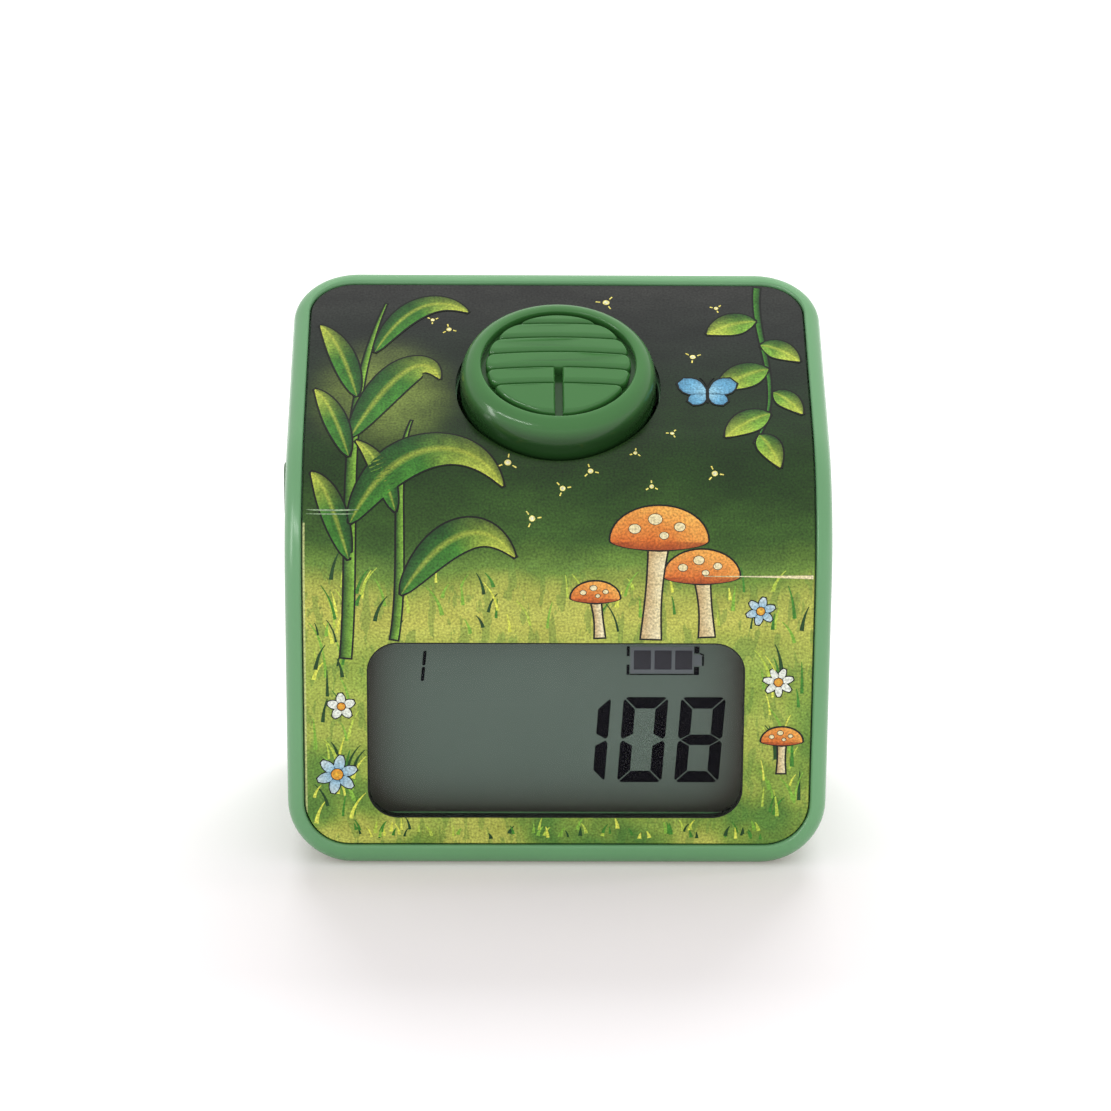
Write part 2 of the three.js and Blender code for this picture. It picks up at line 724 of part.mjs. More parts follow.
function buttonCap() {
  const floor = buttonHeight - channelDepth;
  const roof = floor - buttonRoof;
  const inner = buttonRadius - buttonWall;
  const flangeLow = -flangeTop - flangeThickness;
  const profile = [
    [0, floor],
    [ringRadius, floor],
    ...profileArc([ringRadius + ringEdge, buttonHeight - ringEdge], ringEdge, Math.PI, Math.PI / 2, 2),
    ...profileArc([buttonRadius - buttonEdge, buttonHeight - buttonEdge], buttonEdge, Math.PI / 2, 0),
    [buttonRadius, -flangeTop],
    [flangeRadius, -flangeTop],
    [flangeRadius, flangeLow],
    [inner, flangeLow],
    [inner, roof],
    [plungerRadius, roof],
    [plungerRadius, -plungerDepth],
    [0, -plungerDepth],
  ];
  const ribs = [];
  for (let k = 0; k <= ribGrooves; k++) {
    const high = k === 0 ? ribRadius : ribTopGroove - (k - 1) * ribPitch - ribGroove / 2;
    const low = k === ribGrooves ? -ribRadius : ribTopGroove - k * ribPitch + ribGroove / 2;
    const rib = extruded(ribShape(low, high), channelDepth - ribDrop + buttonRoof / 2, 2 * curveSteps);
    ribs.push(solidOf(moved(rib, 0, 0, floor - buttonRoof / 2)));
  }
  const split = block(splitWidth, ribRadius + splitTop, floor, buttonHeight + 1);
  return cut(
    join(solidOf(turned(profile.reverse(), roundSteps)), ...ribs),
    solidOf(moved(split, 0, (splitTop - ribRadius) / 2, 0)),
  );
}

function mainSwitch() {
  const room = switchStemLength + buttonTravel - (switchStemTop - switchTop);
  return cut(
    solidOf(slab(switchSide, switchSide, switchEdge, restGap - buttonBoardDepth, switchTop)),
    solidOf(rod(switchStemRadius + fitGap, switchTop - room - restGap, switchTop + 1)),
  );
}

const mainSwitchStem = () =>
  solidOf(rod(switchStemRadius, switchStemTop - switchStemLength, switchStemTop));

// Side key, along the Z axis with the outside of the wall at z = 0

function sideKey() {
  const cap = pillow(keyWidth, keyLength, keyWidth / 2, keyBack, keyProud, keyEdge);
  const flange = slab(keyWidth + 2 * keyFlangeMargin, keyLength + 2 * keyFlangeMargin,
    keyWidth / 2 + keyFlangeMargin, keyBack, keyFlange);
  return join(solidOf(cap), solidOf(flange));
}

function sideSwitch() {
  const [back, front] = [sideSwitchFront - sideSwitchLength, sideSwitchFront];
  const toBoard = keyDepth - boardBack - restGap;
  const body = slab(toBoard + sideSwitchBehind, sideSwitchWidth, sideSwitchEdge, back, front);
  const bore = rod(sideStemRadius + fitGap, front - sideStemSunk - keyTravel - restGap, front + 1);
  return cut(solidOf(moved(body, (toBoard - sideSwitchBehind) / 2, 0, 0)), solidOf(bore));
}

const sideSwitchStem = () =>
  solidOf(rod(sideStemRadius, sideSwitchFront - sideStemSunk, keyBack - restGap));

// Charging socket, along the Z axis with its mouth at z = 0

function chargingSocket() {
  const shell = slab(socketThickness, socketWidth, socketThickness / 2, -socketLength, 0);
  const bore = slab(socketThickness - 2 * socketWall, socketWidth - 2 * socketWall,
    socketThickness / 2 - socketWall, -socketMouth, 1);
  return cut(solidOf(shell), solidOf(bore));
}

function socketTongue() {
  const gap = socketWall + fitGap;
  const root = slab(socketThickness - 2 * gap, socketWidth - 2 * gap, socketThickness / 2 - gap,
    restGap - socketMouth, restGap - socketMouth + tongueThickness);
  const tongue = block(tongueThickness, tongueWidth, restGap - socketMouth, tongueLength - socketMouth);
  return join(solidOf(root), solidOf(tongue));
}

// Battery

const batteryCell = () =>
  solidOf(pillow(cellWidth, cellHeight, cellEdge, cellBack - cellThickness, cellBack, cellEdge / 2));

const batteryPad = () =>
  solidOf(slab(cellWidth - 4 * cellEdge, cellHeight - 4 * cellEdge, cellEdge,
    innerBack - restGap - padThickness, innerBack - restGap));

const batteryPlug = () =>
  solidOf(slab(plugWidth, plugHeight, plugEdge, boardBack + restGap, boardBack + restGap + plugLength));

// A lead from the top of the cell over to the plug on the board.
function batteryLead(x) {
  const [start, end] = [cellBack - cellThickness / 2, boardBack + 2 * restGap + plugLength];
  const path = new THREE.CatmullRomCurve3([
    new THREE.Vector3(x, start, cellTop + restGap),
    new THREE.Vector3(x, start - leadRadius, cellTop + leadBend),
    new THREE.Vector3(x, start - 2 * leadBend, cellTop),
    new THREE.Vector3(x, end + leadBend, plugLevel),
    new THREE.Vector3(x, end, plugLevel),
  ]);
  const section = new THREE.Shape().absarc(0, 0, leadRadius, 0, 2 * Math.PI);
  return solidOf(new THREE.ExtrudeGeometry(section, {
    steps: leadSteps, extrudePath: path, curveSegments: leadSides,
  }));
}

// A screw along the Z axis, with its head above z = 0.
function screw(radius, length, headRadius, headHeight) {
  const crown = profileArc([headRadius - headHeight / 2, headHeight / 2], headHeight / 2, 0, Math.PI / 2, 2);
  return solidOf(turned([
    [0, -length], [radius / 2, -length], [radius, radius - length], [radius, 0], [headRadius, 0],
    ...crown, [0, headHeight],
  ], postSteps));
}

// Assembly

const caseGreen = plastic(0x76a678, 0.28);
const buttonGreen = plastic(0x56875a, 0.4);
const keyGreen = plastic(0x2f4a36, 0.45);
const print = plastic(0x6f8450, 0.15);
const clear = new THREE.MeshStandardMaterial({
  color: 0xdfe6df, roughness: 0.05, metalness: 0, transparent: true, opacity: 0.3,
});
const display = plastic(0x5c6a62, 0.3);
const black = plastic(0x1b1c1d, 0.5);
const white = plastic(0xe6e4dc, 0.4);
const rubber = plastic(0x3a3a3c, 0.8);
const boardGreen = plastic(0x14532f, 0.45);
const foil = metal(0xb9bcc0, 0.35);
const steel = metal(0xa4a7ab, 0.3);
const amber = plastic(0xa66a1e, 0.5);
const redWire = plastic(0xb02a20, 0.5);

const tallyCounter = new THREE.Group();
const body = new THREE.Group();
body.position.y = -caseDepth / 2;
tallyCounter.add(body);
body.add(frontFrame, backFrame, sideFrame, slopeFrame, keyFrame, socketFrame);

// Adds a piece to a frame, at a place in it.
function add(frame, name, solid, material, x = 0, y = 0, z = 0) {
  const mesh = piece(name, solid, material);
  mesh.position.set(x, y, z);
  frame.add(mesh);
}

add(body, "front_case", frontCase(), caseGreen);
add(body, "rear_cover", rearCover(), caseGreen);
add(body, "face_plate", facePlate(), print);

add(frontFrame, "window_pane", windowPane(), clear, windowShift, windowCentre);
add(frontFrame, "lcd_glass", lcdGlass(), display, 0, windowCentre);
add(frontFrame, "lcd_frame", lcdFrame(), white, 0, windowCentre);
add(frontFrame, "zebra_strip", zebraStrip(), rubber, 0, windowCentre);

add(frontFrame, "main_board", mainBoard(), boardGreen);
add(backFrame, "controller_blob", controllerBlob(), black, blobSide, windowCentre, boardBack + restGap);
add(sideFrame, "crystal_can", crystalCan(), steel, boardBack + crystalRadius + restGap, crystalLevel, crystalSide);
add(slopeFrame, "button_board", buttonBoard(), boardGreen);
add(sideFrame, "board_link", boardLink(), amber);

add(slopeFrame, "button_cap", buttonCap(), buttonGreen);
add(slopeFrame, "main_switch", mainSwitch(), black);
add(slopeFrame, "main_switch_stem", mainSwitchStem(), white);

add(keyFrame, "side_key", sideKey(), keyGreen);
add(keyFrame, "side_switch", sideSwitch(), black);
add(keyFrame, "side_switch_stem", sideSwitchStem(), white);

add(socketFrame, "charging_socket", chargingSocket(), steel);
add(socketFrame, "socket_tongue", socketTongue(), black);

add(backFrame, "battery_cell", batteryCell(), foil, 0, cellLow + cellHeight / 2);
add(backFrame, "battery_pad", batteryPad(), rubber, 0, cellLow + cellHeight / 2);
add(backFrame, "battery_plug", batteryPlug(), white, -leadSide, plugLevel);
add(body, "battery_lead_red", batteryLead(leadSide - leadApart / 2), redWire);
add(body, "battery_lead_black", batteryLead(leadSide + leadApart / 2), black);

const caseScrew = () => screw(screwRadius, screwGrip + screwBite, screwHeadRadius, screwHeadHeight);
[...lowScrews, ...topScrews].forEach(([x, height], k) => {
  const meeting = k < lowScrews.length ? lowMeeting : topMeeting;
  add(backFrame, `case_screw_${k + 1}`, caseScrew(), steel, x, height, meeting + screwGrip + restGap / 2);
});

const boardScrew = (thickness) =>
  screw(boardScrewRadius, thickness + boardScrewBite - 2 * restGap, boardScrewHead, boardScrewHead / 2);
boardPosts.forEach(([x, height], k) => {
  add(backFrame, `main_board_screw_${k + 1}`, boardScrew(boardThickness), steel, x, height, boardBack + restGap);
});
buttonPosts.forEach(([x, y], k) => {
  const mesh = piece(`button_board_screw_${k + 1}`, boardScrew(buttonBoardThickness), steel);
  mesh.rotation.x = Math.PI;
  mesh.position.set(x, y, -buttonBoardDepth - buttonBoardThickness - restGap);
  slopeFrame.add(mesh);
});

export default tallyCounter;
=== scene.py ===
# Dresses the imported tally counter: fine shells, button and printed plate, finishes, display and studio.
# Lengths are millimetres and angles radians, but arc() takes degrees and the shaders work in metres.
import random
from collections import namedtuple
from math import atan2, copysign, cos, hypot, pi, sin, sqrt, tan

import bmesh
import bpy
from mathutils import Matrix, Vector


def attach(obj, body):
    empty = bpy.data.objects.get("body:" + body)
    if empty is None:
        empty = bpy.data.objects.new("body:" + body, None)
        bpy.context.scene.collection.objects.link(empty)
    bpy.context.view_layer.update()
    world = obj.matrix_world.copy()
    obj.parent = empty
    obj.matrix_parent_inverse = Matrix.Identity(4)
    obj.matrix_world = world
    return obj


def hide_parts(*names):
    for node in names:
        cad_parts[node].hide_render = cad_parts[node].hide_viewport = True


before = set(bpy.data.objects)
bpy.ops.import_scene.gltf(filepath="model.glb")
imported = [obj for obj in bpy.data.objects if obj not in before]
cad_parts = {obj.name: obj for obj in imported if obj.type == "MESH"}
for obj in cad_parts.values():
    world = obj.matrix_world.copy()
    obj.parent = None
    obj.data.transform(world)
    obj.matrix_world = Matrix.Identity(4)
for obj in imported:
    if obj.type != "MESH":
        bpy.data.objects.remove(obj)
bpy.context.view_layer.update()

MM = 0.001
MERGE_GAP = 0.0005
DEGREES = pi / 180
SHARP_ANGLE = 32 * DEGREES
ON_FACE = 0.999  # least cosine between a polygon of the plate's front and the face

# Case, as the CAD model has it
CASE_WIDTH = 45.0
CASE_DEPTH = 28.8
UPRIGHT_HEIGHT = 24.4
BEND_RADIUS = 13.0
BEND_ANGLE = 63 * DEGREES
SLOPE_LENGTH = 20.5
CORNER_RADIUS = 5.5
RIM_RADIUS = 1.5
RIM_FLARE = 0.3
BACK_EDGE = 2.2
SHELL_DEPTH = 4.6
SIDE_WALL = 1.6
BACK_WALL = 1.8
FRONT_SKIN = 2.95
JOINT_LINE = 0.12
JOINT_EDGE = 0.1
LIP_LENGTH = 1.0
LIP_INSET = 0.9
FIT_GAP = 0.12

# Face plate and window
PLATE_DROP = 0.2
PLATE_THICKNESS = 0.8
PLATE_EDGE = 0.1
PLATE_SIDE_RIM = 1.53
PLATE_END_RIM = 2.02
PLATE_RADIUS = 3.7
PLATE_FLOOR = 1.15
WINDOW_WIDTH = 31.0
WINDOW_HEIGHT = 15.24
WINDOW_RADIUS = 2.45
WINDOW_CENTRE = 12.07
WINDOW_SHIFT = -0.17
PANE_MARGIN = 1.3
PANE_THICKNESS = 0.9
GLASS_FRONT = 3.25

# Thumb button
BUTTON_ALONG = 5.55
BUTTON_RADIUS = 8.18
BUTTON_HEIGHT = 2.65
BUTTON_EDGE = 1.4
BUTTON_EDGE_HEIGHT = 2.0
BUTTON_WALL = 1.2
BUTTON_ROOF = 0.9
BUTTON_GAP = 0.3
RING_RADIUS = 6.45
RING_EDGE = 0.25
CHANNEL_DEPTH = 0.9
FLANGE_RADIUS = 9.5
FLANGE_TOP = 4.3
FLANGE_THICKNESS = 0.8
PLUNGER_RADIUS = 2.2
PLUNGER_DEPTH = 4.35
SLEEVE_DEPTH = 4.0
SLEEVE_WALL = 1.4
RIB_RADIUS = 6.05
RIB_PITCH = 1.88
RIB_GROOVE = 0.13
RIB_TOP_GROOVE = 4.92
RIB_GROOVES = 5
RIB_DROP = 0.05
RIB_DOME = 0.34
RIB_EDGE = 0.3
RIB_NEAR_EDGE = 0.45
RIB_CORNER = 0.55
SPLIT_WIDTH = 0.62
SPLIT_FROM = 4

# Side key, charging socket and case screws
KEY_LENGTH = 4.9
KEY_WIDTH = 2.0
KEY_PROUD = 0.5
KEY_EDGE = 0.3
KEY_DEPTH = 12.2
KEY_HEIGHT = 29.25
KEY_FLANGE_MARGIN = 0.5
KEY_FLANGE = -1.9
KEY_BACK = -2.6
SOCKET_DEPTH = 10.33
SOCKET_HEIGHT = 14.0
SOCKET_WIDTH = 8.94
SOCKET_THICKNESS = 3.26
PLUG_ROOM = 0.35
SCREW_SIDE = 19.0
SCREW_SEATS = ((5.2, 11.5, PLATE_FLOOR), (35.0, 20.5, 7.5))  # height, depth of the seat, root in front
SCREWS = [((x, height), seat, root) for height, seat, root in SCREW_SEATS for x in (-SCREW_SIDE, SCREW_SIDE)]
SCREW_RADIUS = 0.85
SCREW_HEAD_RADIUS = 1.5
SCREW_HEAD_HEIGHT = 1.1
SCREW_LENGTH = 9.3
SCREW_GAP = 0.1
RECESS_LENGTH = 1.5
RECESS_WIDTH = 0.32
RECESS_DEPTH = 0.7
RECESS_RADIUS = 0.05
RECESS_TAPER = 0.5
BOSS_RADIUS = 1.6
BOSS_HEAD_RADIUS = 2.5
BOSS_SEAT = 1.2
BOSS_RIB = 1.0
SCREW_GRIP = 4.5
SCREW_BITE = 4.8
REST_GAP = 0.1
SLIDE_GAP = 0.3
HOLE_EDGE = 0.25

# Posts for the boards and the ribs of the battery bay
POST_RADIUS = 1.4
POST_HOLE = 0.7
POST_BITE = 2.2
BOARD_FRONT = 7.4
BUTTON_BOARD_DEPTH = 9.3
BOARD_POSTS = ((-13.0, 24.7), (13.0, 24.7))
BUTTON_POSTS = ((-13.0, -1.5), (13.0, -1.5), (-13.0, 6.5), (13.0, 6.5))
BAY_RIBS = (5.2, 26.8)
BAY_RIB_WIDTH = 16.0
BAY_RIB_THICKNESS = 1.0
BAY_RIB_DEPTH = 3.6

# Facets
CORNER_STEPS = 14
BEND_STEPS = 42
EDGE_STEPS = 8
ROUND_STEPS = 128
RIB_STEPS = 7
SMALL_STEPS = 40

SLOPE_START = UPRIGHT_HEIGHT + BEND_RADIUS * BEND_ANGLE
FACE_LENGTH = SLOPE_START + SLOPE_LENGTH
INNER_SIDE = CASE_WIDTH / 2 - SIDE_WALL
INNER_BACK = CASE_DEPTH - BACK_WALL

Outline = namedtuple("Outline", "width low high radius")
CASE_OUTLINE = Outline(CASE_WIDTH, 0.0, FACE_LENGTH, CORNER_RADIUS)
PLATE_OUTLINE = Outline(
    CASE_WIDTH - 2 * PLATE_SIDE_RIM, PLATE_END_RIM, FACE_LENGTH - PLATE_END_RIM, PLATE_RADIUS)

# Colours, as 0 to 255 screen values where nothing else is said
CASE_TONE = (108, 162, 112)
BUTTON_TONE = (67, 122, 63)
KEY_TONE = (64, 108, 62)
LCD_GREEN = (92, 109, 98)
# Painted shade on the display glass: browner and darker towards the window's edges
LCD_EDGE_SHADE = (84, 83, 75)
LCD_SHADE_FADE = (("X", WINDOW_SHIFT, WINDOW_WIDTH / 2, 9.0), ("Z", 13.4, 9.6, 5.5))  # axis, middle, reach, power
LCD_BLACK = (0.0018, 0.0015, 0.004)  # linear
LCD_GREY = (114, 119, 123)
LCD_DARK = (62, 61, 67)
SKY = (  # height up the face, colour
    (2, (108, 142, 54)), (9, (124, 156, 60)), (17, (158, 180, 76)), (21.5, (196, 194, 92)),
    (23.9, (170, 176, 80)), (25.9, (108, 140, 54)), (28.6, (60, 94, 34)), (33.4, (34, 64, 18)),
    (39, (24, 50, 14)), (45, (26, 42, 26)), (51, (36, 40, 38)), (57, (50, 50, 50)),
)
MOTTLES = ((0.4, (84, 128, 54)), (0.5, (140, 162, 68)), (0.6, (192, 192, 92)))  # noise, colour
MOTTLE_TOP = 24.0
# Painted highlight: a pale strip along the lower part of the plate's left edge, where its cut edge catches
# the light
PAINTED_EDGE_HIGHLIGHT = 0.18
PAINTED_EDGE_HIGHLIGHT_TOP = 30.0
PAINTED_EDGE_HIGHLIGHT_TONE = (206, 210, 140)
GLOW_CENTRE = (-14.5, 43.0)
GLOW_REACH = (7.5, 8.5)
GLOW_TONE = (158, 178, 84)
MEADOW_TOP = 27.0
TUFT_TONE = (104, 140, 56)
LINE_WIDTH = 0.11
HALFTONE = 5200.0
# Painted shade on the button's wall, which darkens its colour towards the face plate
FOOT_SHADE_LOW = 0.5
FOOT_PAINTED_SHADES = (  # share of the wall's height, linear factor
    (0.0, (0.27, 0.27, 0.25)), (0.36, (0.38, 0.4, 0.35)), (0.72, (0.84, 0.86, 0.82)), (1.0, (1.0, 1.0, 1.0)))


def srgb(red, green, blue):
    """A colour given as 0 to 255 screen values, as the shader's linear numbers."""
    def linear(value):
        value /= 255
        return value / 12.92 if value <= 0.04045 else ((value + 0.055) / 1.055) ** 2.4
    return tuple(linear(value) for value in (red, green, blue))


# Meshes


def place(x, y, z):
    """The frame's point, in millimetres, of a case point whose y is the depth behind the display."""
    return Vector((x, y - CASE_DEPTH / 2, z))


def make(name, points, faces):
    mesh = bpy.data.meshes.new(name)
    mesh.from_pydata([tuple(p) for p in points], [], faces)
    work = bmesh.new()
    work.from_mesh(mesh)
    bmesh.ops.remove_doubles(work, verts=work.verts, dist=MERGE_GAP)
    work.to_mesh(mesh)
    work.free()
    piece = bpy.data.objects.new(name, mesh)
    bpy.context.scene.collection.objects.link(piece)
    return piece


def discard(piece):
    mesh = piece.data
    bpy.data.objects.remove(piece)
    bpy.data.meshes.remove(mesh)


def settle(piece):
    """Applies the piece's modifiers to its mesh."""
    bpy.context.view_layer.update()
    graph = bpy.context.evaluated_depsgraph_get()
    made = bpy.data.meshes.new_from_object(piece.evaluated_get(graph))
    old = piece.data
    piece.modifiers.clear()
    piece.data = made
    bpy.data.meshes.remove(old)
    made.name = piece.name


def combine(piece, others, operation):
    for other in others:
        modifier = piece.modifiers.new(other.name, "BOOLEAN")
        modifier.operation = operation
        modifier.object = other
        modifier.solver = "MANIFOLD"
        settle(piece)
        discard(other)
    return piece


def cut(piece, *others):
    return combine(piece, others, "DIFFERENCE")


def join(piece, *others):
    return combine(piece, others, "UNION")


def smooth(piece):
    """Smooth shading, with the sharp edges kept."""
    mesh = piece.data
    mesh.polygons.foreach_set("use_smooth", [True] * len(mesh.polygons))
    mesh.set_sharp_from_angle(angle=SHARP_ANGLE)
    weighted = piece.modifiers.new("normals", "WEIGHTED_NORMAL")
    weighted.keep_sharp = True
    settle(piece)
    return piece


# The bent face


def turn_at(s):
    return min(max((s - UPRIGHT_HEIGHT) / BEND_RADIUS, 0.0), BEND_ANGLE)


def face_point(x, s, depth=0.0):
    """The point at a width x, a length s up the face and a depth behind it."""
    turn = turn_at(s)
    past = max(0.0, s - SLOPE_START)
    y = BEND_RADIUS * (1 - cos(turn)) + past * sin(BEND_ANGLE)
    z = min(s, UPRIGHT_HEIGHT) + BEND_RADIUS * sin(turn) + past * cos(BEND_ANGLE)
    return Vector((x, y + depth * cos(turn), z - depth * sin(turn)))


def face_normal(s):
    turn = turn_at(s)
    return Vector((0, -cos(turn), sin(turn)))


def drawn_in(outline, by):
    return Outline(outline.width - 2 * by, outline.low + by, outline.high - by, outline.radius - by)


def half_outline(outline):
    """The right half of an outline as (x, s, outward x, outward s), from the bottom edge to the top."""
    x = outline.width / 2 - outline.radius
    points = []

    def corner(s, start):
        for k in range(CORNER_STEPS + 1):
            angle = start + k / CORNER_STEPS * pi / 2
            out_x, out_s = cos(angle), sin(angle)
            points.append((x + outline.radius * out_x, s + outline.radius * out_s, out_x, out_s))

    corner(outline.low + outline.radius, -pi / 2)
    for k in range(BEND_STEPS + 1):
        s = UPRIGHT_HEIGHT + (SLOPE_START - UPRIGHT_HEIGHT) * k / BEND_STEPS
        points.append((outline.width / 2, s, 1.0, 0.0))
    corner(outline.high - outline.radius, 0.0)
    return points


def face_ring(outline, depth):
    return [face_point(x, s, depth) for x, s, _, _ in half_outline(outline)]


def loft(name, rings):
    """A closed body through rings from the front to the back, each a right half that the left mirrors."""
    size = len(rings[0])
    points = []
    for ring in rings:
        for x, y, z in ring:
            points += [place(x, y, z), place(-x, y, z)]
    last, top = len(rings) - 1, size - 1

    def right(k, i):
        return 2 * (k * size + i)

    def left(k, i):
        return right(k, i) + 1

    faces = []
    for k in range(last):
        for i in range(top):
            faces.append((right(k, i), right(k + 1, i), right(k + 1, i + 1), right(k, i + 1)))
            faces.append((left(k, i), left(k, i + 1), left(k + 1, i + 1), left(k + 1, i)))
        faces.append((left(k, 0), left(k + 1, 0), right(k + 1, 0), right(k, 0)))
        faces.append((left(k, top), right(k, top), right(k + 1, top), left(k + 1, top)))
    for i in range(top):
        faces.append((left(0, i), right(0, i), right(0, i + 1), left(0, i + 1)))
        faces.append((left(last, i), left(last, i + 1), right(last, i + 1), right(last, i)))
    return make(name, points, faces)


def quarter(steps=EDGE_STEPS):
    """(what is left of a rounding's inset, how much of its depth is done) along a quarter circle."""
    angles = [k / steps * pi / 2 for k in range(steps + 1)]
    return [(1 - sin(angle), 1 - cos(angle)) for angle in angles]


def face_body(name, outline, front, back, rounding=0.0, back_rounding=0.0):
    rings = []
    for inset, done in quarter() if rounding else [(0.0, 0.0)]:
        rings.append(face_ring(drawn_in(outline, rounding * inset), front + abs(rounding) * done))
    if back_rounding:
        for inset, done in reversed(quarter(3)):
            rings.append(face_ring(drawn_in(outline, back_rounding * inset), back - back_rounding * done))
    else:
        rings.append(face_ring(outline, back))
    return loft(name, rings)


def rear_body(name, inset, front, back, rounding, front_rounding=0.0):
    """A body whose walls run from a depth behind the bent face straight to an upright back."""
    outline = drawn_in(CASE_OUTLINE, inset)
    wall_top = face_point(0, outline.high)
    top = wall_top.z - (back - wall_top.y) * tan(BEND_ANGLE)
    low_end, high_end = outline.low + outline.radius, outline.high - outline.radius

    def level(s):
        if s <= low_end:
            return s
        if s >= high_end:
            return top - (outline.high - s)
        share = (s - low_end) / (high_end - low_end)
        return low_end + share * (top - outline.radius - low_end)

    columns = []
    for x, s, out_x, out_s in half_outline(outline):
        start = face_point(x, s, front)
        inward = face_point(x - out_x, s - out_s, front) - start
        corner = Vector((x, back, level(s)))
        along = (corner - start).normalized()
        column = [
            start + inward * (front_rounding * part) + along * (front_rounding * done)
            for part, done in quarter(3)
        ] if front_rounding else [start]
        wall_end = corner - along * rounding
        back_end = corner - Vector((out_x, 0, out_s)) * rounding
        for k in range(EDGE_STEPS + 1):
            t = k / EDGE_STEPS
            column.append(wall_end * (1 - t) ** 2 + corner * (2 * t * (1 - t)) + back_end * t ** 2)
        columns.append(column)
    return loft(name, [list(ring) for ring in zip(*columns)])


# Prisms, rods and turned bodies in frames whose Z points out of a face


def frame_at(position, up, out):
    """The matrix of a frame whose Y is up and whose Z is out."""
    across = up.cross(out)
    turn = Matrix((across, up, out)).transposed().to_4x4()
    return Matrix.Translation(place(*position)) @ turn


TO_RIGHT, TO_BACK, TO_TOP = Vector((1, 0, 0)), Vector((0, 1, 0)), Vector((0, 0, 1))
UP_SLOPE = Vector((0, sin(BEND_ANGLE), cos(BEND_ANGLE)))
FRONT = frame_at((0, 0, 0), TO_TOP, -TO_BACK)
BACK = frame_at((0, 0, 0), TO_TOP, TO_BACK)
BUTTON_POINT = face_point(0, SLOPE_START + BUTTON_ALONG)
SLOPE = frame_at(BUTTON_POINT, UP_SLOPE, face_normal(SLOPE_START))
KEY = frame_at((-CASE_WIDTH / 2, KEY_DEPTH, KEY_HEIGHT), TO_TOP, -TO_RIGHT)
SOCKET = frame_at((CASE_WIDTH / 2, SOCKET_DEPTH, SOCKET_HEIGHT), TO_TOP, TO_RIGHT)


def rounded(width, height, radius, steps=10):
    """A rounded rectangle's points, anticlockwise."""
    x, y = width / 2 - radius, height / 2 - radius
    points = []
    for k, (side, end) in enumerate(((x, y), (-x, y), (-x, -y), (x, -y))):
        for i in range(steps + 1):
            angle = (k + i / steps) * pi / 2
            points.append((side + radius * cos(angle), end + radius * sin(angle)))
    return points


def closed(first, size, count):
    """The faces of a body whose points, from the number first, lie in a count of rows of one size."""
    last = first + (count - 1) * size
    faces = [tuple(first + k for k in reversed(range(size)))]
    for row in range(first, last, size):
        for k in range(size):
            a, b = row + k, row + (k + 1) % size
            faces.append((a, b, b + size, a + size))
    return faces + [tuple(range(last, last + size))]


def stack(name, matrix, sections, at=(0.0, 0.0)):
    """A closed body through flat outlines at rising heights, all with the same number of points."""
    points = [
        matrix @ Vector((x + at[0], y + at[1], height)) for outline, height in sections for x, y in outline
    ]
    return make(name, points, closed(0, len(sections[0][0]), len(sections)))


def slab(name, matrix, width, height, radius, back, front, at=(0.0, 0.0)):
    outline = rounded(width, height, radius)
    return stack(name, matrix, [(outline, back), (outline, front)], at)


def turned(name, matrix, profile, steps=ROUND_STEPS, at=(0.0, 0.0)):
    """A body turned about the frame's Z from (radius, height) points that start and end on it."""
    points, rows = [], []
    for radius, height in profile:
        if radius == 0:
            rows.append([len(points)] * steps)
            points.append(matrix @ Vector((at[0], at[1], height)))
            continue
        rows.append(list(range(len(points), len(points) + steps)))
        for k in range(steps):
            angle = 2 * pi * k / steps
            x, y = radius * cos(angle), radius * sin(angle)
            points.append(matrix @ Vector((x + at[0], y + at[1], height)))
    faces = []
    for low, high in zip(rows, rows[1:]):
        for k in range(steps):
            corners = [low[k], low[(k + 1) % steps], high[(k + 1) % steps], high[k]]
            faces.append(tuple(dict.fromkeys(corners)))
    return make(name, points, faces)


def rod(name, matrix, radius, back, front, at=(0.0, 0.0), steps=SMALL_STEPS):
    return turned(name, matrix, [(0, back), (radius, back), (radius, front), (0, front)], steps, at)


def arc(centre, radius, start, end, steps):
    """(radius, height) points of part of a circle in a profile."""
    angles = [(start + (end - start) * k / steps) * DEGREES for k in range(steps + 1)]
    return [(centre[0] + radius * cos(a), centre[1] + radius * sin(a)) for a in angles]


# Shells


def window_cut(name, margin, radius, back, front):
    return slab(name, FRONT, WINDOW_WIDTH + 2 * margin, WINDOW_HEIGHT + 2 * margin, radius, back, front,
                at=(WINDOW_SHIFT, WINDOW_CENTRE))


def rods_at(places, matrix, radius, back, front):
    return [rod("rod", matrix, radius, back, front, at=spot) for spot in places]


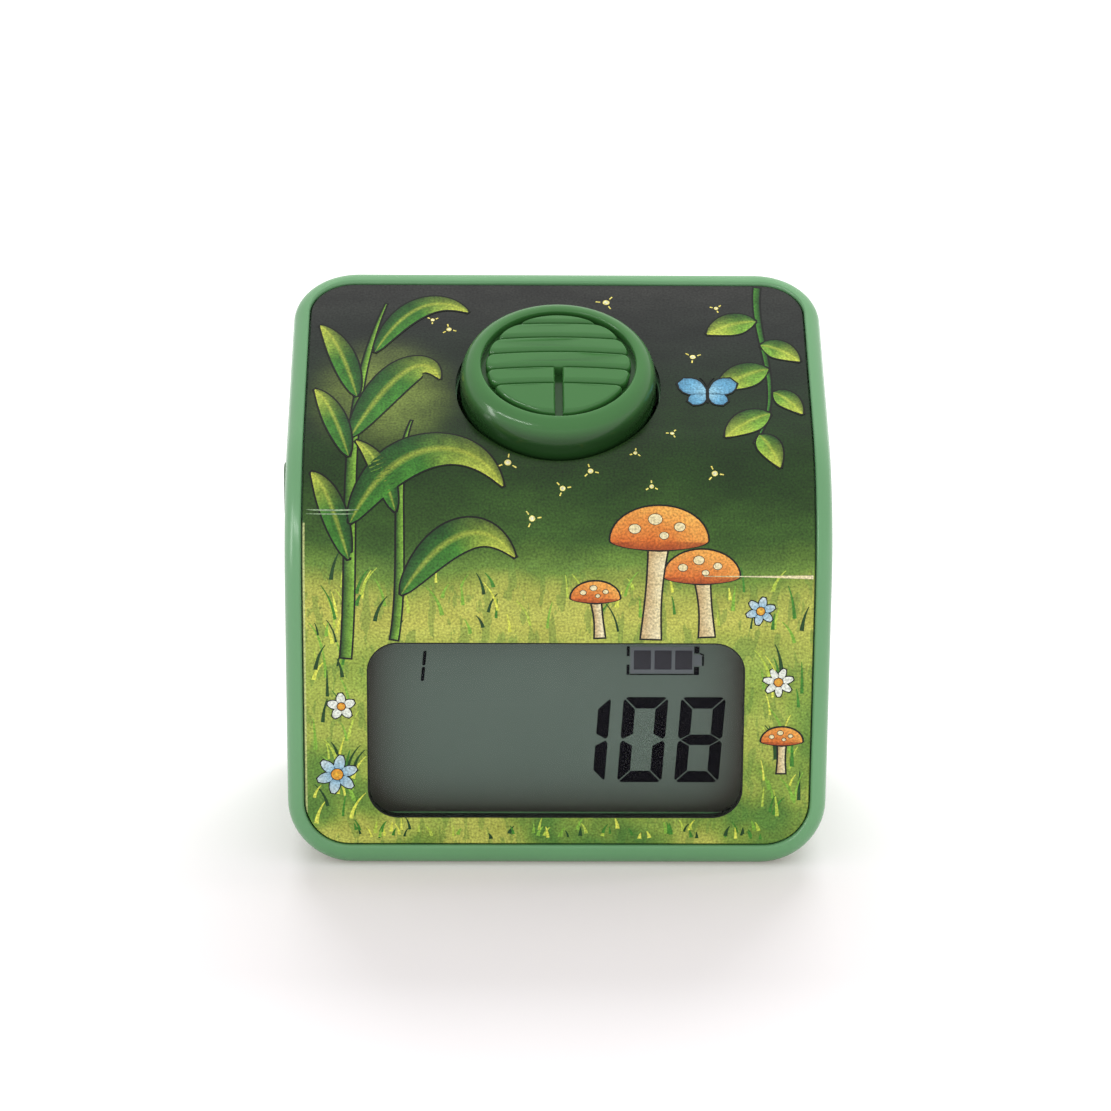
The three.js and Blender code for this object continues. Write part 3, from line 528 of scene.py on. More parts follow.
def front_shell():
    past = SHELL_DEPTH + LIP_LENGTH
    shell = face_body("front_shell", CASE_OUTLINE, 0, SHELL_DEPTH, RIM_RADIUS, JOINT_EDGE)
    sleeve_hole = BUTTON_RADIUS + BUTTON_GAP
    cut(
        shell,
        face_body("inside", drawn_in(CASE_OUTLINE, SIDE_WALL), FRONT_SKIN, past),
        face_body("rebate", drawn_in(CASE_OUTLINE, LIP_INSET - FIT_GAP), SHELL_DEPTH - LIP_LENGTH - FIT_GAP,
                  past),
    )
    join(
        shell,
        rod("sleeve", SLOPE, sleeve_hole + SLEEVE_WALL, -SLEEVE_DEPTH, -PLATE_FLOOR, steps=ROUND_STEPS),
        *rods_at(BOARD_POSTS, BACK, POST_RADIUS, PLATE_FLOOR, BOARD_FRONT - REST_GAP),
        *rods_at(BUTTON_POSTS, SLOPE, POST_RADIUS, REST_GAP - BUTTON_BOARD_DEPTH, -PLATE_FLOOR),
        *[rod("boss", BACK, BOSS_RADIUS, root, seat - SCREW_GRIP, spot) for spot, seat, root in SCREWS],
    )
    seat = drawn_in(PLATE_OUTLINE, -FIT_GAP)
    cut(
        shell,
        face_body("mouth", drawn_in(seat, FIT_GAP / 2), -RIM_RADIUS, PLATE_THICKNESS),
        face_body("seat", seat, -FIT_GAP / 6, PLATE_FLOOR, -RIM_FLARE),
        window_cut("pane_seat", PANE_MARGIN + FIT_GAP, WINDOW_RADIUS + PANE_MARGIN,
                   -PLATE_FLOOR - PANE_THICKNESS, RIM_RADIUS),
        window_cut("opening", PANE_MARGIN / 2, WINDOW_RADIUS, -FRONT_SKIN - RIM_RADIUS, RIM_RADIUS),
        rod("button_hole", SLOPE, sleeve_hole, -SLEEVE_DEPTH - RIM_RADIUS, BUTTON_HEIGHT, steps=ROUND_STEPS),
        *rods_at(BOARD_POSTS, BACK, POST_HOLE, BOARD_FRONT - POST_BITE, BOARD_FRONT),
        *rods_at(BUTTON_POSTS, SLOPE, POST_HOLE, -BUTTON_BOARD_DEPTH, POST_BITE - BUTTON_BOARD_DEPTH),
        *[rod("pilot", BACK, SCREW_RADIUS + SCREW_GAP, seat - SCREW_GRIP - SCREW_BITE - SLIDE_GAP,
              seat - SCREW_GRIP + REST_GAP, spot) for spot, seat, _ in SCREWS],
    )
    return smooth(shell)


def rear_shell():
    front = SHELL_DEPTH + JOINT_LINE
    lip_front = SHELL_DEPTH - LIP_LENGTH
    shell = rear_body("rear_shell", 0, front, CASE_DEPTH, BACK_EDGE, JOINT_EDGE)
    join(shell, face_body("lip", drawn_in(CASE_OUTLINE, LIP_INSET), lip_front, SHELL_DEPTH + BACK_WALL))
    cut(shell, rear_body("hollow", SIDE_WALL, lip_front - LIP_LENGTH, INNER_BACK, BACK_WALL / 3))
    root = INNER_BACK + BACK_WALL / 2
    for height in BAY_RIBS:
        join(shell, slab("bay_rib", BACK, BAY_RIB_WIDTH, BAY_RIB_THICKNESS, JOINT_EDGE,
                         INNER_BACK - BAY_RIB_DEPTH, root, (0, height)))
    reach = INNER_SIDE - SCREW_SIDE + SIDE_WALL / 2
    for (x, height), seat, _ in SCREWS:
        join(
            shell,
            slab("boss_rib", BACK, reach, BOSS_RIB, JOINT_EDGE, seat, root,
                 (x + copysign(reach / 2, x), height)),
            rod("boss", BACK, BOSS_RADIUS, seat - SCREW_GRIP + REST_GAP, seat, (x, height)),
            rod("boss_head", BACK, BOSS_HEAD_RADIUS, seat - BOSS_SEAT, root, (x, height)),
        )
    radius = SCREW_HEAD_RADIUS + SCREW_GAP
    mouth, brim, past = radius + HOLE_EDGE, CASE_DEPTH - HOLE_EDGE, CASE_DEPTH + BACK_WALL
    for spot, seat, _ in SCREWS:
        profile = [(0, seat), (radius, seat), (radius, brim)]
        profile += arc((mouth, brim), HOLE_EDGE, 180, 90, 4)[1:] + [(mouth, past), (0, past)]
        cut(
            shell,
            turned("counterbore", BACK, profile, SMALL_STEPS, spot),
            rod("screw_hole", BACK, SCREW_RADIUS + SCREW_GAP, seat - SCREW_GRIP, seat + REST_GAP, spot),
        )
    cut(shell, flared_slot("key_slot", KEY, KEY_WIDTH, KEY_LENGTH, FIT_GAP),
        flared_slot("plug_hole", SOCKET, SOCKET_THICKNESS, SOCKET_WIDTH, PLUG_ROOM))
    return smooth(shell)


def flared_slot(name, matrix, width, length, room):
    """A round-ended slot through a side wall, with a rounded mouth."""
    sections = []
    for grow, height in [(0, -2 * SIDE_WALL), (0, -HOLE_EDGE / 2)] + [
        (HOLE_EDGE / 2 * (1 - cos(a * DEGREES)), HOLE_EDGE / 2 * (sin(a * DEGREES) - 1))
        for a in (30, 60, 90)
    ] + [(HOLE_EDGE / 2, SIDE_WALL)]:
        out = room + grow
        sections.append((rounded(width + 2 * out, length + 2 * out, width / 2 + out), height))
    return stack(name, matrix, sections)


# Face plate


def along_face(point):
    """The length up the face of a point of a mesh."""
    y, z = point.y + CASE_DEPTH / 2 - BEND_RADIUS, point.z - UPRIGHT_HEIGHT
    if z <= 0:
        return UPRIGHT_HEIGHT + z
    turn = atan2(z, -y) if y < 0 else pi / 2
    if turn <= BEND_ANGLE:
        return UPRIGHT_HEIGHT + BEND_RADIUS * turn
    return SLOPE_START + y * sin(BEND_ANGLE) + z * cos(BEND_ANGLE)


def follow_face(piece):
    """UVs in metres along the face, and the face's own normals on what lies along it."""
    mesh = piece.data
    layer = mesh.uv_layers.new(name="face")
    normals = []
    for polygon in mesh.polygons:
        middle = face_normal(along_face(polygon.center))
        on_face = polygon.normal.dot(middle) > ON_FACE
        for loop in polygon.loop_indices:
            point = mesh.vertices[mesh.loops[loop].vertex_index].co
            s = along_face(point)
            layer.data[loop].uv = (point.x * MM, s * MM)
            normals.append(face_normal(s) if on_face else polygon.normal.copy())
    mesh.polygons.foreach_set("use_smooth", [True] * len(mesh.polygons))
    mesh.normals_split_custom_set(normals)


def printed_plate():
    back = PLATE_DROP + PLATE_THICKNESS
    plate = face_body("printed_plate", PLATE_OUTLINE, PLATE_DROP, back, PLATE_EDGE)
    cut(
        plate,
        window_cut("window", 0, WINDOW_RADIUS, -RIM_RADIUS - back, RIM_RADIUS),
        rod("hole", SLOPE, BUTTON_RADIUS + BUTTON_GAP + FIT_GAP, -SLEEVE_DEPTH, BUTTON_HEIGHT,
            steps=ROUND_STEPS),
    )
    follow_face(plate)
    return plate


# Thumb button


def rib_outline(low, high, inner, inset):
    """The right side of a rib, up its outer end, with rounded corners. inset draws it in for its edges."""
    near, far = low + inset * RIB_NEAR_EDGE, high - inset * RIB_EDGE
    radius = RIB_RADIUS - inset * RIB_EDGE
    start = inner + inset * RIB_EDGE if inner else 0.0

    def on_circle(y):
        return sqrt(max(radius ** 2 - y ** 2, 0.0))

    corner = min(RIB_CORNER, 0.45 * (far - near))
    points = []
    for y, step in ((near, 1), (far, -1)):
        past = y + step * corner
        before = (max(on_circle(y) - corner, start), y)
        middle, after = (on_circle(y), y), (on_circle(past), past)
        if abs(y) > radius - corner:
            middle = ((before[0] + after[0]) / 2, y)
        bend = [
            tuple(before[i] * (1 - t) ** 2 + middle[i] * 2 * t * (1 - t) + after[i] * t ** 2 for i in (0, 1))
            for t in (k / RIB_STEPS for k in range(RIB_STEPS + 1))
        ]
        if step < 0:
            rise = [points[-1][1] + (past - points[-1][1]) * k / RIB_STEPS for k in range(1, RIB_STEPS)]
            points += [(on_circle(level), level) for level in rise]
            bend.reverse()
        points += bend
    reach = points[0][0], points[-1][0]
    ends = [[start + (end - start) * k / RIB_STEPS for k in range(RIB_STEPS)] for end in reach]
    return [(x, near) for x in ends[0]] + points + [(x, far) for x in reversed(ends[1])]


def rib_bodies():
    """The ribs with rounded edges, the wider rounding towards the display. ribs() puts them on a slight dome.
    """
    top = BUTTON_HEIGHT - RIB_DROP
    foot = BUTTON_HEIGHT - CHANNEL_DEPTH - BUTTON_ROOF / 2
    levels = [(0.0, foot), (0.0, top - RIB_NEAR_EDGE)]
    for k in range(1, RIB_STEPS + 1):
        angle = k / RIB_STEPS * pi / 2
        levels.append((1 - cos(angle), top - RIB_NEAR_EDGE * (1 - sin(angle))))
    for k in range(RIB_GROOVES + 1):
        high = RIB_RADIUS if k == 0 else RIB_TOP_GROOVE - (k - 1) * RIB_PITCH - RIB_GROOVE / 2
        low = -RIB_RADIUS if k == RIB_GROOVES else RIB_TOP_GROOVE - k * RIB_PITCH + RIB_GROOVE / 2
        inner = SPLIT_WIDTH / 2 if k >= SPLIT_FROM else 0.0
        halves = [(rib_outline(low, high, inner, inset), height) for inset, height in levels]
        mirrored = [([(-x, y) for x, y in reversed(half)], height) for half, height in halves]
        if inner:
            yield halves
            yield mirrored
        else:
            yield [(half[1:-1] + other[1:-1], height) for (half, height), (other, _) in zip(halves, mirrored)]


def ribs():
    made = []
    for levels in rib_bodies():
        rib = stack("rib", Matrix(), levels)
        for vertex in rib.data.vertices:
            x, y, height = vertex.co
            if height > BUTTON_HEIGHT - CHANNEL_DEPTH - BUTTON_ROOF / 4:
                vertex.co.z += RIB_DOME * max(0.0, 1 - (x * x + y * y) / RIB_RADIUS ** 2)
        rib.data.transform(SLOPE)
        made.append(rib)
    return made


def button_cap():
    floor = BUTTON_HEIGHT - CHANNEL_DEPTH
    roof = floor - BUTTON_ROOF
    inner = BUTTON_RADIUS - BUTTON_WALL
    flange_low = -FLANGE_TOP - FLANGE_THICKNESS
    profile = [(0, -PLUNGER_DEPTH), (PLUNGER_RADIUS, -PLUNGER_DEPTH), (PLUNGER_RADIUS, roof), (inner, roof)]
    profile += [(inner, flange_low), (FLANGE_RADIUS, flange_low), (FLANGE_RADIUS, -FLANGE_TOP)]
    taller = BUTTON_EDGE_HEIGHT / BUTTON_EDGE
    profile += [(BUTTON_RADIUS, -FLANGE_TOP)] + [
        (radius, BUTTON_HEIGHT - BUTTON_EDGE_HEIGHT + rise * taller)
        for radius, rise in arc((BUTTON_RADIUS - BUTTON_EDGE, 0.0), BUTTON_EDGE, 0, 90, 20)
    ]
    profile += arc((RING_RADIUS + RING_EDGE, BUTTON_HEIGHT - RING_EDGE), RING_EDGE, 90, 180, 6)
    profile += [(RING_RADIUS, floor), (0, floor)]
    return smooth(join(turned("button", SLOPE, profile), *ribs()))


def side_key():
    sections = [(rounded(KEY_WIDTH, KEY_LENGTH, KEY_WIDTH / 2), (KEY_FLANGE + KEY_BACK) / 2)]
    for inset, done in reversed(quarter(5)):
        out = -KEY_EDGE * inset
        width = KEY_WIDTH + 2 * out
        sections.append((rounded(width, KEY_LENGTH + 2 * out, width / 2), KEY_PROUD - KEY_EDGE * done))
    margin = 2 * KEY_FLANGE_MARGIN
    flange = slab("flange", KEY, KEY_WIDTH + margin, KEY_LENGTH + margin, (KEY_WIDTH + margin) / 2, KEY_BACK,
                  KEY_FLANGE)
    return smooth(join(stack("key", KEY, sections), flange))


def case_screw(number, spot, seat):
    """A screw with a cross recess in its head."""
    crown = SCREW_HEAD_HEIGHT / 2
    base = seat + SCREW_GAP / 2
    top = base + SCREW_HEAD_HEIGHT
    spot = (-spot[0], spot[1])
    profile = [(0, base - SCREW_LENGTH), (SCREW_RADIUS, base - SCREW_LENGTH), (SCREW_RADIUS, base),
               (SCREW_HEAD_RADIUS, base)]
    profile += arc((SCREW_HEAD_RADIUS - crown, base + crown), crown, 0, 90, 6) + [(0, top)]
    screw = turned(f"screw_{number}", BACK, profile, SMALL_STEPS, spot)
    for across, up in ((RECESS_LENGTH, RECESS_WIDTH), (RECESS_WIDTH, RECESS_LENGTH)):
        high = rounded(across, up, RECESS_RADIUS, 2)
        low = [(x * RECESS_TAPER, y * RECESS_TAPER) for x, y in high]
        cut(screw, stack("recess", BACK, [(low, top - RECESS_DEPTH), (high, top + 2 * SCREW_GAP)], spot))
    return smooth(screw)


# Display

DIGIT_WIDTH = 3.73
DIGIT_HEIGHT = 7.6
DIGIT_STROKE = 1.01
DIGIT_CHAMFER = 0.32
DIGIT_GAP = 0.08
DIGIT_PITCH = 4.79
DIGIT_SLANT = tan(3.7 * DEGREES)
FILM = 0.02
DIGITS_AT = (0.27, 6.37)
SMALL_AT = (-11.4, 15.35)
SMALL_BARS = ((0.0, 1.26), (1.39, 2.68))
SMALL_STROKE = 0.27
SMALL_SLANT = 1.4 * DIGIT_SLANT
LIT_BARS = {"0": "abcdef", "1": "bc", "8": "abcdefg"}


def digit_bars(lit, width, height, stroke, chamfer, gap):
    """Outlines of a seven bar digit's lit bars. Its corner is at the origin, upright."""
    middle, half = height / 2, chamfer / 2
    tip = 0.2 * stroke
    top = [(stroke + gap, height - stroke), (width - stroke - gap, height - stroke),
           (width - half - gap / 2, height - half + gap / 2), (width - chamfer, height), (chamfer, height),
           (half + gap / 2, height - half + gap / 2)]
    right = [(width - stroke, middle + stroke / 2 + gap / 2), (width - tip, middle + gap),
             (width, middle + chamfer), (width, height - chamfer),
             (width - half + gap / 2, height - half - gap / 2), (width - stroke, height - stroke - gap)]
    centre = [(tip + gap, middle), (stroke, middle - stroke / 2 + gap / 2),
              (width - stroke, middle - stroke / 2 + gap / 2), (width - tip - gap, middle),
              (width - stroke, middle + stroke / 2 - gap / 2), (stroke, middle + stroke / 2 - gap / 2)]

    def flipped(outline, across, down):
        points = [(width - x if across else x, height - y if down else y) for x, y in outline]
        return points if across == down else list(reversed(points))

    bars = {"a": top, "b": right, "c": flipped(right, False, True), "d": flipped(top, False, True),
            "e": flipped(right, True, True), "f": flipped(right, True, False), "g": centre}
    return [bars[letter] for letter in lit]


def film(name, outlines, layer=0):
    """Thin flat shapes on the display glass, as one piece. Outlines are anticlockwise in (x, z)."""
    points, faces = [], []
    back, front = GLASS_FRONT - layer * FILM, GLASS_FRONT - (layer + 1) * FILM
    for outline in outlines:
        faces += closed(len(points), len(outline), 2)
        points += [place(x, depth, z) for depth in (back, front) for x, z in outline]
    return make(name, points, faces)


def digits():
    outlines = []
    for k, letter in enumerate("108"):
        for bar in digit_bars(LIT_BARS[letter], DIGIT_WIDTH, DIGIT_HEIGHT, DIGIT_STROKE, DIGIT_CHAMFER,
                              DIGIT_GAP):
            left = DIGITS_AT[0] + k * DIGIT_PITCH
            outlines.append([(left + x + y * DIGIT_SLANT, DIGITS_AT[1] + y) for x, y in bar])
    for low, high in SMALL_BARS:
        bar = [(0.0, low + 0.08), (0.1, low), (SMALL_STROKE, low + 0.06),
               (SMALL_STROKE, high - 0.08), (SMALL_STROKE - 0.1, high), (0.0, high - 0.06)]
        outlines.append([(SMALL_AT[0] + x + y * SMALL_SLANT, SMALL_AT[1] + y) for x, y in bar])
    return film("lcd_digits", outlines)


def boxes(*corners):
    """Outlines from the left, low, right and high sides of boxes."""
    return [[(x0, z0), (x1, z0), (x1, z1), (x0, z1)] for x0, z0, x1, z1 in corners]


def gauge():
    """The battery gauge: a grey case with its tip, dark cells, and dark corner marks."""
    grey = boxes((6.05, 16.08, 11.32, 18.42), (11.36, 16.75, 11.98, 17.72))
    dark = boxes(*((x, 16.42, x + 1.42, 18.1) for x in (6.34, 8.06, 9.78)))
    marks = boxes((5.74, 17.6, 5.98, 18.46), (5.74, 15.96, 5.98, 16.84), (6.02, 15.94, 11.32, 16.04),
                  (11.36, 17.84, 11.78, 18.46), (11.36, 15.94, 11.78, 16.65), (12.02, 16.75, 12.18, 17.6))
    marks.append([(11.82, 17.76), (12.18, 17.62), (12.18, 17.76), (11.82, 17.9)])
    return film("lcd_gauge", grey), film("lcd_gauge_cells", dark, 1), film("lcd_gauge_marks", marks, 1)


# Printed picture: a meadow at night with leaves, mushrooms, flowers, a butterfly and fireflies

INK_LIFT = 0.004
INK_STEP = 0.4
INK_SINK = 0.03
OUTLINE = 0.15
INK = {name: srgb(*colour) for name, colour in {
    "line": (13, 18, 11), "deep": (30, 70, 28), "leaf": (66, 132, 42), "fresh": (132, 182, 62),
    "lit": (222, 226, 88), "cream": (236, 222, 176), "shade": (196, 164, 112), "cap": (214, 112, 44),
    "cap_lit": (244, 176, 82), "cap_dark": (150, 62, 28), "blue": (104, 170, 206), "sky": (168, 212, 226),
    "navy": (40, 78, 110), "petal": (232, 236, 224), "gold": (238, 190, 62), "spark": (250, 236, 120),
    # the next tone is for the painted highlights where the face bends
    "crease_sheen": (150, 176, 136),
}.items()}
GRASS = (  # strokes, whether they stand at both sides, reach across, reach of their feet, height
    (60, False, (-17.2, 17.2), (2.4, 3.4), (0.5, 1.1)), (80, True, (16.9, 20.3), (3.5, 22), (1.0, 3.0)),
    (50, False, (-20, 20), (20.4, 25.5), (1.0, 2.6)),
)
GRASS_LAYERS = 37
BARE_EDGE = 20.7
ink_points, ink_colours, ink_faces = [], [], []


def mix(a, b, share):
    share = min(max(share, 0.0), 1.0)
    return tuple(p + (q - p) * share for p, q in zip(a, b))


def plain(name):
    """Paint of one tone."""
    return lambda *_: INK[name]


def shaded(dark, pale):
    """Paint that runs from a dark to a pale tone over a ribbon's width."""
    return lambda u, t: mix(INK[dark], INK[pale], 0.5 + 0.5 * u)


def disc(radius, squash=1.0):
    return lambda angle: (radius * cos(angle), radius * squash * sin(angle))


def spoke(x, s, angle, size, *reaches):
    """Points that lie in one direction from a middle."""
    return [(x + cos(angle) * size * reach, s + sin(angle) * size * reach) for reach in reaches]


def add_sheet(rows, layer, ring=False):
    """A thin closed sheet on the plate from rows of (x, s, colour). A ring starts from its middle point."""
    start, count, index = len(ink_points), 0, []
    for row in rows:
        index.append([start + count + k for k in range(len(row))])
        count += len(row)
    for depth in (PLATE_DROP - INK_LIFT * layer, PLATE_DROP + INK_SINK):
        for x, s, colour in (point for row in rows for point in row):
            ink_points.append(tuple(place(*face_point(x, s, depth))))
            ink_colours.extend((*colour, 1.0))

    def add(*corners):
        corners = tuple(dict.fromkeys(corners))
        ink_faces.extend((corners, tuple(c + count for c in reversed(corners))))

    def wall(row):
        ink_faces.extend((b, a, a + count, b + count) for a, b in zip(row, row[1:]))

    if ring:
        index = [row * (len(index[-1]) // len(row)) + row[:1] for row in index]
    for low, high in zip(index, index[1:]):
        for k in range(len(high) - 1):
            if ring:
                add(low[k], high[k], high[k + 1], low[k + 1])
            else:
                add(low[k], low[k + 1], high[k + 1], high[k])
        if not ring:
            wall([high[0], low[0]])
            wall([low[-1], high[-1]])
    for row in index[-1:] if ring else (index[0], index[-1][::-1]):
        wall(row)


def curve_point(points, t):
    """A point and its direction on the Bezier curve through control points."""
    while len(points) > 2:
        points = [tuple(p + (q - p) * t for p, q in zip(a, b)) for a, b in zip(points, points[1:])]
    (x0, s0), (x1, s1) = points
    length = hypot(x1 - x0, s1 - s0) or 1.0
    return x0 + (x1 - x0) * t, s0 + (s1 - s0) * t, (x1 - x0) / length, (s1 - s0) / length


def ribbon(points, width, paint, layer, outline=OUTLINE, across=8):
    """A leaf or stalk along a curve. width(t) is its half width, and paint(u, t) its colour."""
    span = sum(hypot(b[0] - a[0], b[1] - a[1]) for a, b in zip(points, points[1:]))
    steps = max(6, int(span / INK_STEP))

    def rows(grow, colour):
        made = []
        for i in range(steps + 1):
            t = i / steps
            x, s, dx, ds = curve_point(points, t)
            end = grow * (2 * t - 1) if i in (0, steps) else 0.0
            half = width(t) + grow
            made.append([
                (x + dx * end + ds * half * u, s + ds * end - dx * half * u, colour(u, t))
                for u in (2 * k / across - 1 for k in range(across + 1))
            ])
        return made

    if outline:
        add_sheet(rows(outline, plain("line")), layer)
    add_sheet(rows(0.0, paint), layer + 1)


def stroke(points, width, tone, layer, across=2):
    """A ribbon of one tone, without an outline."""
    ribbon(points, width, plain(tone), layer, outline=0, across=across)


def blob(centre, shape, paint, layer, outline=OUTLINE, points=28):
    """A filled outline round a centre: shape(angle) is its (x, s), and paint(share, angle) its colour."""
    angles = [2 * pi * k / points for k in range(points)]

    def rows(grow, colour):
        rings = max(2, int(max(hypot(*shape(angle)) for angle in angles) / INK_STEP))
        made = [[(*centre, colour(0, 0))]]
        for i in range(1, rings + 1):
            made.append([])
            for angle in angles:
                x, s = shape(angle)
                far = hypot(x, s) or 1.0
                share = i / rings * (far + grow) / far
                made[-1].append((centre[0] + x * share, centre[1] + s * share, colour(i / rings, angle)))
        return made

    if outline:
        add_sheet(rows(outline, plain("line")), layer, ring=True)
    add_sheet(rows(0.0, paint), layer + 1, ring=True)


def leaf(points, widest, layer, middle="leaf", lit_side=1, blunt=0.75):
    """A leaf with a pale midrib, one lit side and a pale tip."""
    dark, tip = INK["deep"], INK["lit"]

    def paint(u, t):
        colour = mix(dark, INK[middle], 0.5 + 0.5 * u * lit_side)
        colour = mix(colour, tip, max(0.0, t * 1.5 - 0.6) * (0.6 + 0.4 * u * lit_side))
        if abs(u) < 0.13:
            return mix(colour, tip, 0.35)
        return mix(colour, dark, 0.22 if sin(t * 46 + abs(u) * 5) > 0.55 else 0.0)

    ribbon(points, lambda t: 0.05 + widest * sin(pi * t ** blunt) ** 0.8, paint, layer)


def grass():
    """Loose strokes of grass round the window and along the glowing meadow."""
    draw = random.Random(7)
    tones = [*(INK[name] for name in ("deep", "leaf", "fresh", "lit")), mix(INK["fresh"], INK["lit"], 0.5)]
    for k, (both_sides, *reaches) in enumerate(row for count, *row in GRASS for _ in range(count)):
        side = draw.choice((-1, 1))
        x, s, length = (draw.uniform(*reach) for reach in reaches)
        if both_sides:
            x *= side
        lean = draw.uniform(-1, 1) * length * 0.6
        tone = draw.choice(tones)
        if side * x > 0 and abs(x + lean) > BARE_EDGE:
            lean = -lean
        ribbon([(x, s), (x + lean * 0.2, s + length * 0.6), (x + lean, s + length)],
               lambda t, wide=draw.uniform(0.06, 0.16): 0.03 + wide * (1 - t),
               lambda u, t, tone=tone: tone, 1 + (k % GRASS_LAYERS) / 10, outline=0, across=2)


def plant():
    """Long leaves that arch in from the left edge."""
    for points, wide in (([(-17.5, 18.5), (-16.5, 30), (-18.2, 42), (-14.6, 54.6)], 0.42),
                         ([(-13.5, 20.1), (-12.4, 27), (-13.8, 34), (-12.2, 40)], 0.3)):
        ribbon(points, lambda t, wide=wide: wide * (1 - 0.9 * t ** 3), shaded("deep", "fresh"), 5)
    for k, (side, widest, *points) in enumerate((
            (-1, 0.95, (-17.2, 27), (-18.4, 31), (-19.2, 33.4), (-20.3, 34.4)),
            (1, 1.75, (-17.1, 30), (-13, 38.5), (-7.4, 38.4), (-4.6, 33.2)),
            (-1, 0.9, (-17.3, 36), (-18.4, 40), (-19.2, 42.6), (-20.3, 43.8)),
            (1, 1.5, (-17.2, 38), (-14, 46), (-11.2, 49), (-9.9, 45.2)),
            (-1, 1.0, (-16.8, 43), (-17.8, 47.4), (-18.8, 50.4), (-20.1, 51.8)),
            (1, 1.05, (-15.4, 48.5), (-12.6, 55.6), (-9.6, 55.4), (-7.6, 53.6)),
            (1, 1.35, (-12.9, 24), (-9.4, 29.8), (-6, 30.6), (-3.6, 27.2)),
            (-1, 0.75, (-13.4, 31), (-14.2, 34), (-15.2, 36.4), (-16.7, 37.6)))):
        leaf(points, widest, 7 + 2 * (k % 3), lit_side=side)


def branch():
    """A twig with round leaves that hangs from the top edge on the right."""
    ribbon([(17.2, 56.8), (16.4, 50), (19.4, 44), (16.2, 37.5)], lambda t: 0.26 * (1 - 0.8 * t),
           shaded("deep", "leaf"), 5)
    for k, (x, s, reach, rise, widest) in enumerate((
            (16.9, 52.5, -4.2, -1.6, 1.25), (17.2, 49.5, 3.2, -2.0, 1.05), (17.7, 46.5, -4.4, -2.6, 1.35),
            (18.0, 43.6, 2.3, -2.6, 0.9), (17.6, 41, -3.8, -2.8, 1.2), (16.6, 38.4, 1.6, -3.4, 0.95))):
        leaf([(x, s), (x + reach * 0.5, s + rise * 0.5 + 0.8), (x + reach, s + rise)], widest,
             7 + 2 * (k % 2), "fresh", 1 if reach > 0 else -1, 0.9)


def mushroom(x, s, height, cap, layer, lean=0.0):
    """A mushroom with a pale stem and a spotted orange cap."""
    top = s + height
    ribbon([(x, s), (x + lean * 0.2, s + height * 0.5), (x + lean, top)],
           lambda t: cap * (0.2 - 0.05 * sin(pi * t)),
           lambda u, t: mix(INK["shade"], INK["cream"], 0.6 + 0.5 * u - 0.5 * max(0.0, t - 0.6)), layer)
    x += lean

    def dome(angle):
        return cap * cos(angle), cap * ((0.72 if sin(angle) > 0 else 0.2) * sin(angle))

    def paint(share, angle):
        colour = mix(INK["cap"], INK["cap_lit"], share * (0.35 + 0.65 * sin(angle + 0.5)))
        return mix(colour, INK["cap_dark"], 0.8 * share if sin(angle) < -0.2 else 0.0)

    blob((x, top), dome, paint, layer + 2, points=40)
    for dx, ds, size in ((-0.5, 0.24, 0.12), (-0.08, 0.44, 0.14), (0.42, 0.28, 0.11), (0.1, 0.1, 0.09)):
        blob((x + dx * cap, top + ds * cap), disc(cap * size, 0.8), plain("cream"), layer + 4, 0.05, 16)


def flower(x, s, size, petals, tone):
    for k in range(petals):
        ribbon(spoke(x, s, 2 * pi * (k + 0.3) / petals, size, 0.2, 1.0),
               lambda t: 0.04 + size * (1.35 / petals) * sin(pi * min(1.0, 0.12 + 0.85 * t)) ** 0.6,
               lambda u, t: mix(INK[tone], INK["petal"], 0.15 + 0.5 * t), 5, outline=0.09, across=6)
    blob((x, s), disc(size * 0.28), lambda share, angle: mix(INK["gold"], INK["cap"], share * 0.6), 7,
         0.07, 20)


def butterfly(x, s, size, layer):
    for side in (-1, 1):
        for reach, rise, wide in ((1.0, 0.72, 0.42), (0.66, -0.5, 0.3)):
            ribbon([(x, s), (x + side * size * reach * 0.5, s + size * rise * 0.4),
                    (x + side * size * reach, s + size * rise)],
                   lambda t, wide=wide: 0.03 + size * wide * sin(pi * min(1.0, 0.92 * t ** 1.3)) ** 0.7,
                   lambda u, t: mix(mix(INK["sky"], INK["blue"], 0.3 + t), INK["navy"],
                                    1.6 * max(abs(u), t) - 1.1), layer)
    stroke([(x - 0.05, s - size * 0.5), (x, s + size * 0.42)], lambda t: 0.09 + 0.06 * sin(pi * t), "line",
           layer + 2, 4)
    for side in (-1, 1):
        stroke([(x, s + size * 0.4), (x + side * 0.3, s + size * 0.8), (x + side * 0.6, s + size * 0.9)],
               lambda t: 0.04, "line", layer + 2)


def fireflies():
    draw = random.Random(11)
    for x, s in ((-9.2, 51.4), (-4.2, 35.4), (2.6, 34.6), (7.6, 33.2), (11.4, 48), (9.4, 38.6), (-10.6, 52.6),
                 (-2.2, 30.4), (4.2, 54.9), (12.8, 34.4), (-8.4, 36), (0.3, 33.0), (13.6, 54.2), (6.3, 36.4)):
        size = draw.uniform(0.16, 0.3)
        first = draw.uniform(0, pi)
        blob((x, s), disc(size), lambda share, angle: mix(INK["petal"], INK["spark"], share), 3, 0, 14)
        for k in range(3):
            stroke(spoke(x, s, first + k * 2.1, size, 1.7, 3), lambda t: 0.055, "spark", 3)


